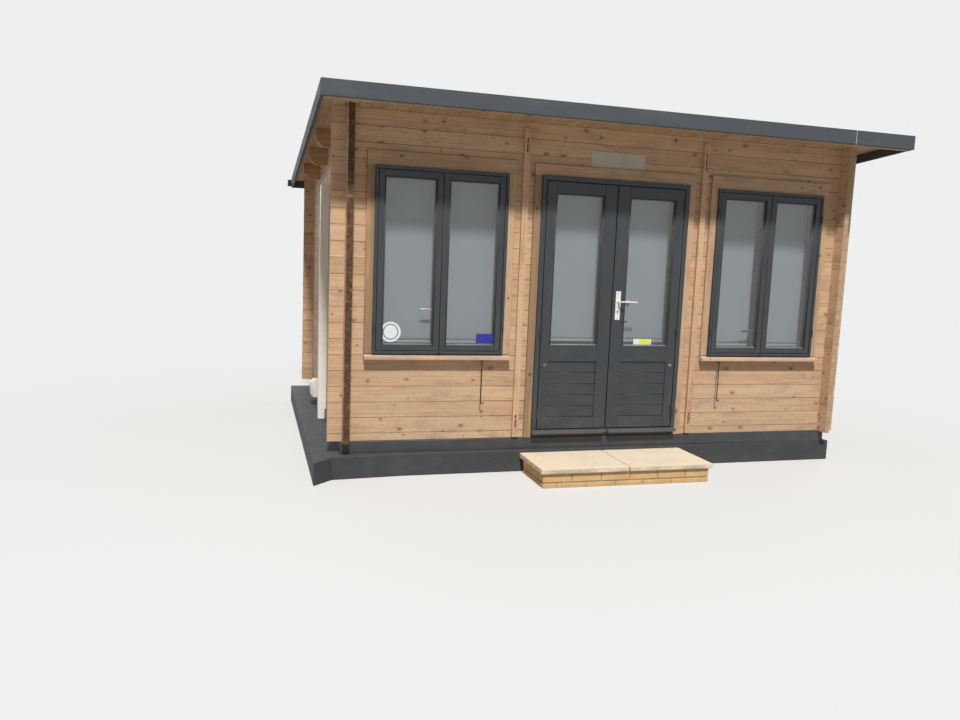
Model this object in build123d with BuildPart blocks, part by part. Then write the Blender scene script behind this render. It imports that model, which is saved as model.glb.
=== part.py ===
from build123d import *
from math import ceil, cos, radians, sin
import os

# Garden office pod: log walls on a timber bearer frame and a concrete base slab.
# Sizes are in millimetres. X runs along the front, Y from front to rear, Z up.
# The origin lies under the middle of the log walls, on the ground.

# Log walls
wall_length = 4070
wall_depth = 2990
log_height = 114
log_thickness = 44
log_groove = 3
log_end_reach = 103
logs_over_doorway = 3
fewer_rear_logs = 2

# Base slab
slab_height = 164
slab_left_ledge = 212
slab_right_ledge = 70
slab_rear_ledge = 60
slab_corner_reach = 256
slab_corner_inset = 75
slab_front_ledge_left = 119
slab_front_step_x = 416
slab_front_ledge_middle = 74
slab_front_ledge_right = 15

# Bearers and floor
bearer_height = 86
bearer_width = 70
bearer_proud = 12
bearer_joint_gap = 1
cross_bearers = 4
floor_thickness = 28
floor_edge_gap = 5

# Roof
roof_side_overhang = 218
roof_front_overhang = 483
roof_rear_overhang = 300
roof_board = 19
roof_felt = 5
edge_board_thickness = 20
edge_board_height = 105
edge_board_above_felt = 13
fascia_joint_from_right = 538
fascia_joint_gap = 2
batten_thickness = 28
batten_below_fascia = 7
purlin_count = 3
purlin_width = 45
purlin_height = 137
purlin_reach = 150
purlin_end_bevel = 45

# Gutter along the rear eaves
gutter_width = 100
gutter_wall = 4
gutter_rim = 16
gutter_end_reach = 38

# Windows
window_from_bay_middle = -25.75
window_width = 972
window_height = 1317
window_bottom = 640
frame_proud = 37
frame_depth = 100
frame_fit = 3
window_face = 22
window_stop = 12
sash_recess = 4
sash_thickness = 40
sash_gap = 3
sash_outer_stile = 42
sash_inner_stile = 44.5
sash_top_rail = 45
sash_bottom_rail = 40
pane_thickness = 16
pane_recess = 12
sill_reach = 62
sill_nose = 19
sill_underside_drop = 40
trim_thickness = 20
window_trim_width = 58
window_trim_head = 102

# Blinds
blind_sheet = 2
blind_tube_radius = 14
blind_bar_height = 18
blind_bar_thickness = 8
blind_bracket_width = 20
window_blind_width = 410
window_blind_spacing = 74
window_blind_standoff = 62
window_blind_hem_rise = 68
window_blind_above_frame = 45
door_blind_width = 410
door_blind_standoff = 68
door_blind_hem_rise = 22
door_blind_top_rise = 35

# Doorway
door_frame_width = 1212
door_frame_bottom = 35
door_frame_height = 1933
door_jamb = 35
door_stop = 15
door_sill_height = 27
door_sill_stop_height = 15
door_nose_reach = 33
door_nose_drop = 8
door_nose_gap = 40
door_trim_width = 57
door_trim_head = 82

# Door leaves
leaf_gap = 6
leaf_bottom_gap = 8
meeting_half_gap = 4
leaf_thickness = 44
leaf_outer_stile = 70
leaf_inner_stile = 100
leaf_top_rail = 82
leaf_bottom_rail = 88
leaf_middle_rail = 123
leaf_panel_height = 432
panel_recess = 10
panel_thickness = 20
panel_boards = 5
panel_groove = 3
stop_gap = 5

# Hinges
hinge_axis_proud = 7
hinge_radius = 6
hinge_pin_radius = 3
hinge_pin_fit = 0.3
hinge_half_height = 38
hinge_half_gap = 0.3
hinge_flap_width = 18
hinge_flap_thickness = 2.5
hinge_heights = (200, 810, 1820)

# Door lever
lever_height = 1055
lever_from_middle = 48
lever_arm = 135
lever_arm_height = 18
lever_arm_thickness = 14
lever_neck = 42
spindle_radius = 7
spindle_fit = 0.5
plate_width = 40
plate_height = 220
plate_thickness = 6
plate_above_lever = 80

# Screw eyes on the door leaves
door_eye_height = 553
door_eye_from_leaf_edge = 40
door_eye_radius = 10.5
door_eye_wire = 3
door_eye_shank = 4
door_eye_tilt = 60

# Cabin hooks under the sills
hook_spacing = 1986
hook_offset = -28
hook_pivot_height = 578
hook_standoff = 50
hook_length = 305
hook_wire = 4
hook_curl = 10
hook_curl_turn = 200
eye_radius = 8
eye_wire = 2.5
eye_fit = 0.3

# Storm braces
brace_to_door_trim = 48.5
brace_width = 45
brace_thickness = 28
brace_foot = 10
brace_top_gap = 47
brace_slot_width = 11
brace_slot_height = 100
brace_slot_from_end = 120

# Sign plate, service fittings and doorstep
sign_width = 440
sign_height = 120
sign_thickness = 4
sign_above_trim = 2
cover_width = 80
cover_reach = 68
cover_wall = 4
cover_rounding = 20
cover_front = 1250
cover_top = 1915
isolator_size = 160
isolator_reach = 90
isolator_chamfer = 25
isolator_middle = 1900
step_width = 1355
step_offset = -22
step_reach = 550
step_height = 145
paving_thickness = 38
paving_overhang = 20
paving_count = 2
paving_joint = 8
step_to_slab_gap = 1

# Places worked out from the sizes above
half_length = wall_length / 2
half_depth = wall_depth / 2
front_face = -half_depth
front_inner_face = front_face + log_thickness
side_inner_face = half_length - log_thickness
wall_base = slab_height + bearer_height
doorway_rise = door_frame_bottom + door_frame_height + frame_fit
front_logs = ceil((doorway_rise - log_height / 2) / log_height) + logs_over_doorway
rear_logs = front_logs - fewer_rear_logs
front_top = wall_base + log_height / 2 + front_logs * log_height
rear_top = wall_base + log_height / 2 + rear_logs * log_height
roof_fall = (front_top - rear_top) / wall_depth
roof_half_length = half_length + roof_side_overhang
edge_board_inner = roof_half_length - edge_board_thickness
roof_front_edge = front_face - roof_front_overhang
roof_rear_edge = half_depth + roof_rear_overhang
fascia_back = roof_front_edge + edge_board_thickness
edge_board_top_rise = roof_board + roof_felt + edge_board_above_felt


def roof_underside(y):
    """Height of the roof boards' underside at a place from front to rear."""
    return front_top - roof_fall * (y - front_face)


roof_plane = Plane(
    origin=(0, front_face, front_top), x_dir=(1, 0, 0), z_dir=(0, roof_fall, 1)
)


def roof_strip(near, far, low, high):
    """Corners of a strip that follows the roof's fall, low and high above its underside."""
    return [
        (near, roof_underside(near) + low),
        (far, roof_underside(far) + low),
        (far, roof_underside(far) + high),
        (near, roof_underside(near) + high),
    ]


def log_outline(outer, inner, first_joint, bottom, outer_top, inner_top):
    """Closed outline of stacked logs, with a V on both faces at every joint."""
    inward = log_groove if inner > outer else -log_groove
    joints = []
    joint = first_joint
    while joint + log_groove < min(outer_top, inner_top):
        if joint - log_groove > bottom:
            joints.append(joint)
        joint += log_height
    points = [(outer, bottom)]
    for joint in joints:
        points.append((outer, joint - log_groove))
        points.append((outer + inward, joint))
        points.append((outer, joint + log_groove))
    points.append((outer, outer_top))
    points.append((inner, inner_top))
    for joint in reversed(joints):
        points.append((inner, joint + log_groove))
        points.append((inner - inward, joint))
        points.append((inner, joint - log_groove))
    points.append((inner, bottom))
    return points


def roller_blinds(starts, width, mount_face, standoff, low, high):
    """Roller blinds on two brackets each: a tube, its sheet and the bar at the hem."""
    sheet_y = mount_face + standoff
    tube_z = high - blind_tube_radius
    bracket_depth = standoff + blind_tube_radius
    with BuildPart() as blinds:
        for start in starts:
            with BuildSketch(Plane.YZ.offset(start)):
                with Locations((sheet_y, tube_z)):
                    Circle(blind_tube_radius)
                with Locations((sheet_y, (low + tube_z) / 2)):
                    Rectangle(blind_sheet, tube_z - low)
                with Locations((sheet_y, low + blind_bar_height / 2)):
                    Rectangle(blind_bar_thickness, blind_bar_height)
            extrude(amount=width)
            for bracket_start in (start, start + width - blind_bracket_width):
                with BuildSketch(Plane.YZ.offset(bracket_start)):
                    with Locations((mount_face + bracket_depth / 2, tube_z)):
                        Rectangle(bracket_depth, 2 * blind_tube_radius)
                extrude(amount=blind_bracket_width)
    return blinds.part


def save(part, name):
    """Label a finished piece and write it as its own file."""
    part.label = name
    export_step(part, f"parts/{name}.step")


os.makedirs("parts", exist_ok=True)

# Base slab, with its flared front left corner
slab_left = -half_length - slab_left_ledge
slab_right = half_length + slab_right_ledge
slab_rear = half_depth + slab_rear_ledge
slab_middle_x = -half_length + slab_front_step_x
slab_middle_y = front_face - slab_front_ledge_middle
slab_right_y = front_face - slab_front_ledge_right
with BuildPart() as base_slab:
    with BuildSketch():
        with BuildLine():
            Polyline(
                (slab_left, slab_rear),
                (slab_left, front_face - slab_corner_reach),
                (-half_length - slab_corner_inset, front_face - slab_front_ledge_left),
                (slab_middle_x, slab_middle_y),
                (slab_right, slab_right_y),
                (slab_right, slab_rear),
                close=True,
            )
        make_face()
    extrude(amount=slab_height)
save(base_slab.part, "base_slab")

# Bearers under the walls and across the floor
bearer_length = wall_length + 2 * bearer_proud
bearer_front_middle = front_face - bearer_proud + bearer_width / 2
cross_length = wall_depth + 2 * bearer_proud - 2 * bearer_width - 2 * bearer_joint_gap
cross_spacing = (bearer_length - bearer_width) / (cross_bearers - 1)
with BuildPart() as bearers:
    with BuildSketch(Plane.XY.offset(slab_height)):
        with Locations((0, bearer_front_middle), (0, -bearer_front_middle)):
            Rectangle(bearer_length, bearer_width)
        with GridLocations(cross_spacing, 0, cross_bearers, 1):
            Rectangle(bearer_width, cross_length)
    extrude(amount=bearer_height)
save(bearers.part, "bearers")

# Floor boards inside the walls
floor_top = wall_base + floor_thickness
with BuildPart() as floor:
    with BuildSketch(Plane.XY.offset(wall_base)):
        Rectangle(
            2 * side_inner_face - 2 * floor_edge_gap,
            wall_depth - 2 * log_thickness - 2 * floor_edge_gap,
        )
    extrude(amount=floor_thickness)
save(floor.part, "floor")

# Places of the door frame and the windows in the front wall
door_half = door_frame_width / 2
doorway_half = door_half + frame_fit
door_bottom = wall_base + door_frame_bottom
door_top = door_bottom + door_frame_height
doorway_top = wall_base + doorway_rise
window_low = wall_base + window_bottom
window_high = window_low + window_height
window_middle = window_low + window_height / 2
brace_x = door_half + door_trim_width + brace_to_door_trim + brace_width / 2
brace_spacing = 2 * brace_x
window_x = (brace_x + brace_width / 2 + side_inner_face) / 2 + window_from_bay_middle
window_spacing = 2 * window_x
frame_front = front_face - frame_proud
frame_back = frame_front + frame_depth
front_first_joint = wall_base + log_height / 2
front_wall_outline = log_outline(
    front_face,
    front_inner_face,
    front_first_joint,
    wall_base,
    front_top,
    roof_underside(front_inner_face),
)

# Front wall beside the doorway, with the window cut through and the log ends past the corner
front_wall_run = side_inner_face - doorway_half
for side, name in ((-1, "front_wall_left"), (1, "front_wall_right")):
    run_start = doorway_half if side > 0 else -side_inner_face
    end_start = half_length if side > 0 else -half_length - log_end_reach
    with BuildPart() as front_wall:
        with BuildSketch(Plane.YZ.offset(run_start)):
            with BuildLine():
                Polyline(*front_wall_outline, close=True)
            make_face()
        extrude(amount=front_wall_run)
        with BuildSketch(Plane.XZ.offset(-front_face)):
            with Locations((side * window_x, window_middle + frame_fit / 2)):
                Rectangle(window_width + 2 * frame_fit, window_height + frame_fit)
        extrude(amount=-log_thickness, mode=Mode.SUBTRACT)
        with BuildSketch(Plane.YZ.offset(end_start)):
            with BuildLine():
                Polyline(*front_wall_outline, close=True)
            make_face()
        extrude(amount=log_end_reach)
    save(front_wall.part, name)

# Logs over the doorway, and what is left of the bottom log under the door frame
over_door_outline = log_outline(
    front_face,
    front_inner_face,
    front_first_joint,
    doorway_top,
    front_top,
    roof_underside(front_inner_face),
)
with BuildPart() as front_wall_at_doorway:
    with BuildSketch(Plane.YZ.offset(-doorway_half)):
        with BuildLine():
            Polyline(*over_door_outline, close=True)
        make_face()
        with Locations(((front_face + front_inner_face) / 2, (wall_base + door_bottom) / 2)):
            Rectangle(log_thickness, door_bottom - wall_base)
    extrude(amount=2 * doorway_half)
save(front_wall_at_doorway.part, "front_wall_at_doorway")

# Purlins, with their lower ends bevelled
purlin_half_length = half_length + purlin_reach
purlin_pitch = wall_depth / (purlin_count + 1)
purlin_middles = [front_face + purlin_pitch * (index + 1) for index in range(purlin_count)]
with BuildPart() as purlins:
    for middle in purlin_middles:
        purlin_top = roof_underside(middle - purlin_width)
        purlin_low = roof_underside(middle) - purlin_height
        bevel_top = purlin_low + purlin_end_bevel
        bevel_x = purlin_half_length - purlin_end_bevel
        with BuildSketch(Plane.XZ.offset(-middle - purlin_width / 2)):
            with BuildLine():
                Polyline(
                    (-purlin_half_length, purlin_top),
                    (-purlin_half_length, bevel_top),
                    (-bevel_x, purlin_low),
                    (bevel_x, purlin_low),
                    (purlin_half_length, bevel_top),
                    (purlin_half_length, purlin_top),
                    close=True,
                )
            make_face()
        extrude(amount=purlin_width)
    split(bisect_by=roof_plane, keep=Keep.BOTTOM)
save(purlins.part, "purlins")

# Side walls, running past both corners, cut to the roof and notched for the purlins
side_wall_run = wall_depth + 2 * log_end_reach
side_wall_blank_top = roof_underside(front_face - log_end_reach) + log_groove
side_wall_outline = log_outline(
    half_length,
    side_inner_face,
    wall_base + log_height,
    wall_base,
    side_wall_blank_top,
    side_wall_blank_top,
)
for side, name in ((-1, "left_wall"), (1, "right_wall")):
    with BuildPart() as side_wall:
        with BuildSketch(Plane.XZ.offset(-half_depth - log_end_reach)):
            with BuildLine():
                Polyline(*[(side * x, z) for x, z in side_wall_outline], close=True)
            make_face()
        extrude(amount=side_wall_run)
        split(bisect_by=roof_plane, keep=Keep.BOTTOM)
        with BuildSketch(Plane.YZ):
            for middle in purlin_middles:
                notch_low = roof_underside(middle) - purlin_height
                with Locations((middle, notch_low + purlin_height)):
                    Rectangle(purlin_width, 2 * purlin_height)
        extrude(amount=side * (half_length + log_groove), mode=Mode.SUBTRACT)
    save(side_wall.part, name)

# Rear wall between the side walls, with its log ends past the corners
rear_wall_outline = log_outline(
    half_depth,
    half_depth - log_thickness,
    front_first_joint,
    wall_base,
    rear_top,
    roof_underside(half_depth - log_thickness),
)
with BuildPart() as rear_wall:
    for start, run in (
        (-half_length - log_end_reach, log_end_reach),
        (-side_inner_face, 2 * side_inner_face),
        (half_length, log_end_reach),
    ):
        with BuildSketch(Plane.YZ.offset(start)):
            with BuildLine():
                Polyline(*rear_wall_outline, close=True)
            make_face()
        extrude(amount=run)
save(rear_wall.part, "rear_wall")

# Roof boards
rear_fascia_front = roof_rear_edge - edge_board_thickness
with BuildPart() as roof_boards:
    with BuildSketch(Plane.YZ.offset(-edge_board_inner)):
        with BuildLine():
            Polyline(*roof_strip(fascia_back, rear_fascia_front, 0, roof_board), close=True)
        make_face()
    extrude(amount=2 * edge_board_inner)
save(roof_boards.part, "roof_boards")

# Roof covering, over the boards and the rear fascia
with BuildPart() as roof_covering:
    with BuildSketch(Plane.YZ.offset(-edge_board_inner)):
        with BuildLine():
            Polyline(
                *roof_strip(fascia_back, roof_rear_edge, roof_board, roof_board + roof_felt),
                close=True,
            )
        make_face()
    extrude(amount=2 * edge_board_inner)
save(roof_covering.part, "roof_covering")

# Front fascia, in two boards with an open joint
fascia_top = roof_underside(fascia_back) + edge_board_top_rise
fascia_low = fascia_top - edge_board_height
fascia_joint_x = roof_half_length - fascia_joint_from_right
with BuildPart() as front_fascia:
    with BuildSketch(Plane.XZ.offset(-roof_front_edge)):
        with Locations((0, (fascia_top + fascia_low) / 2)):
            Rectangle(2 * roof_half_length, edge_board_height)
        with Locations((fascia_joint_x, (fascia_top + fascia_low) / 2)):
            Rectangle(fascia_joint_gap, edge_board_height, mode=Mode.SUBTRACT)
    extrude(amount=-edge_board_thickness)
save(front_fascia.part, "front_fascia")

# Batten behind the front fascia
batten_back = fascia_back + batten_thickness
batten_low = fascia_low - batten_below_fascia
with BuildPart() as eaves_batten:
    with BuildSketch(Plane.YZ.offset(-edge_board_inner)):
        with BuildLine():
            Polyline(
                (fascia_back, batten_low),
                (batten_back, batten_low),
                (batten_back, roof_underside(batten_back)),
                (fascia_back, roof_underside(fascia_back)),
                close=True,
            )
        make_face()
    extrude(amount=2 * edge_board_inner)
save(eaves_batten.part, "eaves_batten")

# Barge boards down both sides of the roof
barge_low = edge_board_top_rise - edge_board_height
with BuildPart() as barge_boards:
    for start in (-roof_half_length, edge_board_inner):
        with BuildSketch(Plane.YZ.offset(start)):
            with BuildLine():
                Polyline(
                    *roof_strip(fascia_back, roof_rear_edge, barge_low, edge_board_top_rise),
                    close=True,
                )
            make_face()
        extrude(amount=edge_board_thickness)
save(barge_boards.part, "barge_boards")

# Rear fascia between the barge boards, under the covering
with BuildPart() as rear_fascia:
    with BuildSketch(Plane.YZ.offset(-edge_board_inner)):
        with BuildLine():
            Polyline(
                *roof_strip(rear_fascia_front, roof_rear_edge, barge_low, roof_board),
                close=True,
            )
        make_face()
    extrude(amount=2 * edge_board_inner)
save(rear_fascia.part, "rear_fascia")

# Gutter: a half round trough on the rear fascia, closed at both ends
gutter_half_length = roof_half_length + gutter_end_reach
gutter_radius = gutter_width / 2
gutter_middle_y = roof_rear_edge + gutter_radius
gutter_rim_top = roof_underside(roof_rear_edge) + roof_board - gutter_wall
gutter_rim_low = gutter_rim_top - gutter_rim
gutter_bore = gutter_radius - gutter_wall
with BuildPart() as rear_gutter:
    with BuildSketch(Plane.YZ.offset(-gutter_half_length)):
        with Locations((gutter_middle_y, gutter_rim_low)):
            Circle(gutter_radius)
        with Locations((gutter_middle_y, gutter_rim_low + gutter_radius)):
            Rectangle(gutter_width, gutter_width, mode=Mode.SUBTRACT)
        with Locations((gutter_middle_y, gutter_rim_low + gutter_rim / 2)):
            Rectangle(gutter_width, gutter_rim)
    extrude(amount=2 * gutter_half_length)
    with BuildSketch(Plane.YZ.offset(-gutter_half_length + gutter_wall)):
        with Locations((gutter_middle_y, gutter_rim_low)):
            Circle(gutter_bore)
        with Locations((gutter_middle_y, gutter_rim_low + gutter_rim / 2)):
            Rectangle(2 * gutter_bore, gutter_rim)
    extrude(amount=2 * gutter_half_length - 2 * gutter_wall, mode=Mode.SUBTRACT)
save(rear_gutter.part, "rear_gutter")

# Storm braces, with a slot near each end
brace_low = wall_base + brace_foot
brace_height = front_top - brace_top_gap - brace_low
brace_middle = brace_low + brace_height / 2
brace_slot_offset = brace_height - 2 * brace_slot_from_end
with BuildPart() as storm_braces:
    with BuildSketch(Plane.XZ.offset(-front_face)):
        with Locations((0, brace_middle)):
            with GridLocations(brace_spacing, 0, 2, 1):
                Rectangle(brace_width, brace_height)
            with GridLocations(brace_spacing, brace_slot_offset, 2, 2):
                SlotOverall(brace_slot_height, brace_slot_width, rotation=90, mode=Mode.SUBTRACT)
    extrude(amount=brace_thickness)
save(storm_braces.part, "storm_braces")

# Window sills, sloping to the front
window_sill_half = window_width / 2 + window_trim_width
sill_low = window_low - sill_underside_drop
with BuildPart() as window_sills:
    for start in (-window_x - window_sill_half, window_x - window_sill_half):
        with BuildSketch(Plane.YZ.offset(start)):
            with BuildLine():
                Polyline(
                    (front_face, window_low),
                    (front_face, sill_low),
                    (front_face - sill_reach, sill_low),
                    (front_face - sill_reach, sill_low + sill_nose),
                    close=True,
                )
            make_face()
        extrude(amount=2 * window_sill_half)
save(window_sills.part, "window_sills")

# Trims round the windows, standing on the sills
with BuildPart() as window_trims:
    with BuildSketch(Plane.XZ.offset(-front_face)):
        with Locations((0, window_low + (window_height + window_trim_head) / 2)):
            with GridLocations(window_spacing, 0, 2, 1):
                Rectangle(2 * window_sill_half, window_height + window_trim_head)
        with Locations((0, window_middle)):
            with GridLocations(window_spacing, 0, 2, 1):
                Rectangle(window_width, window_height, mode=Mode.SUBTRACT)
    extrude(amount=trim_thickness)
save(window_trims.part, "window_trims")

# Window frames, with a stop behind the sashes
sash_front = frame_front + sash_recess
sash_back = sash_front + sash_thickness
sash_opening_width = window_width - 2 * window_face
sash_opening_height = window_height - 2 * window_face
with BuildPart() as window_frames:
    with BuildSketch(Plane.XZ.offset(-frame_front)):
        with Locations((0, window_middle)):
            with GridLocations(window_spacing, 0, 2, 1):
                Rectangle(window_width, window_height)
    extrude(amount=-frame_depth)
    with BuildSketch(Plane.XZ.offset(-frame_front)):
        with Locations((0, window_middle)):
            with GridLocations(window_spacing, 0, 2, 1):
                Rectangle(sash_opening_width, sash_opening_height)
    extrude(amount=-(sash_back - frame_front), mode=Mode.SUBTRACT)
    with BuildSketch(Plane.XZ.offset(-frame_front)):
        with Locations((0, window_middle)):
            with GridLocations(window_spacing, 0, 2, 1):
                Rectangle(
                    sash_opening_width - 2 * window_stop,
                    sash_opening_height - 2 * window_stop,
                )
    extrude(amount=-frame_depth, mode=Mode.SUBTRACT)
save(window_frames.part, "window_frames")

# Sashes, two in each window, seated against the stop
sash_width = (sash_opening_width - 3 * sash_gap) / 2
sash_height = sash_opening_height - 2 * sash_gap
pane_width = sash_width - sash_outer_stile - sash_inner_stile
pane_height = sash_height - sash_top_rail - sash_bottom_rail
sash_low = window_low + window_face + sash_gap
pane_middle_z = sash_low + sash_bottom_rail + pane_height / 2
sash_places = []
pane_places = []
for window_side in (-1, 1):
    for sash_side in (-1, 1):
        meeting_x = window_side * window_x + sash_side * sash_gap / 2
        sash_places.append((meeting_x + sash_side * sash_width / 2, sash_low + sash_height / 2))
        pane_x = meeting_x + sash_side * (sash_inner_stile + pane_width / 2)
        pane_places.append((pane_x, pane_middle_z))
with BuildPart() as window_sashes:
    with BuildSketch(Plane.XZ.offset(-sash_front)):
        with Locations(*sash_places):
            Rectangle(sash_width, sash_height)
        with Locations(*pane_places):
            Rectangle(pane_width, pane_height, mode=Mode.SUBTRACT)
    extrude(amount=-sash_thickness)
save(window_sashes.part, "window_sashes")

# Glass in the sashes
with BuildPart() as window_glass:
    with BuildSketch(Plane.XZ.offset(-sash_front - pane_recess)):
        with Locations(*pane_places):
            Rectangle(pane_width, pane_height)
    extrude(amount=-pane_thickness)
save(window_glass.part, "window_glass")

# Roller blinds inside the windows, one behind each sash, hung from the logs over the frame
window_blinds = roller_blinds(
    [
        middle + shift
        for middle in (-window_x, window_x)
        for shift in (-window_blind_spacing / 2 - window_blind_width, window_blind_spacing / 2)
    ],
    window_blind_width,
    front_inner_face,
    window_blind_standoff,
    window_low + window_blind_hem_rise,
    window_high + window_blind_above_frame,
)
save(window_blinds, "window_blinds")

# Trims round the doorway, down to the foot of the wall
door_trim_top = door_top + door_trim_head
with BuildPart() as door_trims:
    with BuildSketch(Plane.XZ.offset(-front_face)):
        with Locations((0, (wall_base + door_trim_top) / 2)):
            Rectangle(door_frame_width + 2 * door_trim_width, door_trim_top - wall_base)
        with Locations((0, (wall_base + door_top) / 2)):
            Rectangle(door_frame_width, door_top - wall_base, mode=Mode.SUBTRACT)
    extrude(amount=trim_thickness)
save(door_trims.part, "door_trims")

# Door frame: head and jambs, with a stop behind the leaves
sill_top = door_bottom + door_sill_height
leaf_back = frame_front + leaf_thickness
stop_front = leaf_back + stop_gap
jamb_opening = door_frame_width - 2 * door_jamb
stop_opening = jamb_opening - 2 * door_stop
head_low = door_top - door_jamb
stop_head_low = head_low - door_stop
with BuildPart() as door_frame:
    with BuildSketch(Plane.XZ.offset(-frame_front)):
        with Locations((0, (sill_top + door_top) / 2)):
            Rectangle(door_frame_width, door_top - sill_top)
    extrude(amount=-frame_depth)
    with BuildSketch(Plane.XZ.offset(-frame_front)):
        with Locations((0, (sill_top + head_low) / 2)):
            Rectangle(jamb_opening, head_low - sill_top)
    extrude(amount=-(stop_front - frame_front), mode=Mode.SUBTRACT)
    with BuildSketch(Plane.XZ.offset(-frame_front)):
        with Locations((0, (sill_top + stop_head_low) / 2)):
            Rectangle(stop_opening, stop_head_low - sill_top)
    extrude(amount=-frame_depth, mode=Mode.SUBTRACT)
save(door_frame.part, "door_frame")

# Door sill, with a sloping nose under each leaf and a low stop at the back
nose_run = door_half - door_nose_gap / 2
with BuildPart() as door_sill:
    with BuildSketch(Plane.YZ.offset(-door_half)):
        with Locations(((frame_front + frame_back) / 2, (door_bottom + sill_top) / 2)):
            Rectangle(frame_depth, door_sill_height)
    extrude(amount=door_frame_width)
    with BuildSketch(Plane.YZ.offset(-stop_opening / 2)):
        with Locations(((stop_front + frame_back) / 2, sill_top + door_sill_stop_height / 2)):
            Rectangle(frame_back - stop_front, door_sill_stop_height)
    extrude(amount=stop_opening)
    for start in (-door_half, door_nose_gap / 2):
        with BuildSketch(Plane.YZ.offset(start)):
            with BuildLine():
                Polyline(
                    (frame_front, door_bottom),
                    (frame_front - door_nose_reach, door_bottom),
                    (frame_front - door_nose_reach, sill_top - door_nose_drop),
                    (frame_front, sill_top),
                    close=True,
                )
            make_face()
        extrude(amount=nose_run)
save(door_sill.part, "door_sill")

# Hinge halves on the door frame, each with its pin
hinge_x = jamb_opening / 2 - leaf_gap / 2
hinge_y = frame_front - hinge_axis_proud
flap_y = frame_front - hinge_flap_thickness / 2
with BuildPart() as frame_hinges:
    for height in hinge_heights:
        hinge_middle = wall_base + height
        with BuildSketch(Plane.XY.offset(hinge_middle - hinge_half_height)):
            with Locations((-hinge_x, hinge_y), (hinge_x, hinge_y)):
                Circle(hinge_radius)
            with Locations(
                (-hinge_x - hinge_flap_width / 2, flap_y), (hinge_x + hinge_flap_width / 2, flap_y)
            ):
                Rectangle(hinge_flap_width, hinge_flap_thickness)
        extrude(amount=hinge_half_height - hinge_half_gap)
        with BuildSketch(Plane.XY.offset(hinge_middle - hinge_half_height)):
            with Locations((-hinge_x, hinge_y), (hinge_x, hinge_y)):
                Circle(hinge_pin_radius)
        extrude(amount=2 * hinge_half_height)
save(frame_hinges.part, "frame_hinges")

# Places in a door leaf, for the right side
leaf_outer = jamb_opening / 2 - leaf_gap
leaf_width = leaf_outer - meeting_half_gap
leaf_low = sill_top + leaf_bottom_gap
leaf_high = head_low - leaf_gap
leaf_height = leaf_high - leaf_low
field_width = leaf_width - leaf_outer_stile - leaf_inner_stile
field_x = meeting_half_gap + leaf_inner_stile + field_width / 2
panel_low = leaf_low + leaf_bottom_rail
panel_middle = panel_low + leaf_panel_height / 2
door_pane_low = panel_low + leaf_panel_height + leaf_middle_rail
door_pane_high = leaf_high - leaf_top_rail
door_pane_height = door_pane_high - door_pane_low
door_pane_middle = (door_pane_low + door_pane_high) / 2
panel_front = frame_front + panel_recess
panel_board_height = leaf_panel_height / panel_boards
lever_x = lever_from_middle
lever_z = wall_base + lever_height
door_eye_x = leaf_outer - door_eye_from_leaf_edge
door_eye_z = wall_base + door_eye_height

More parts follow.
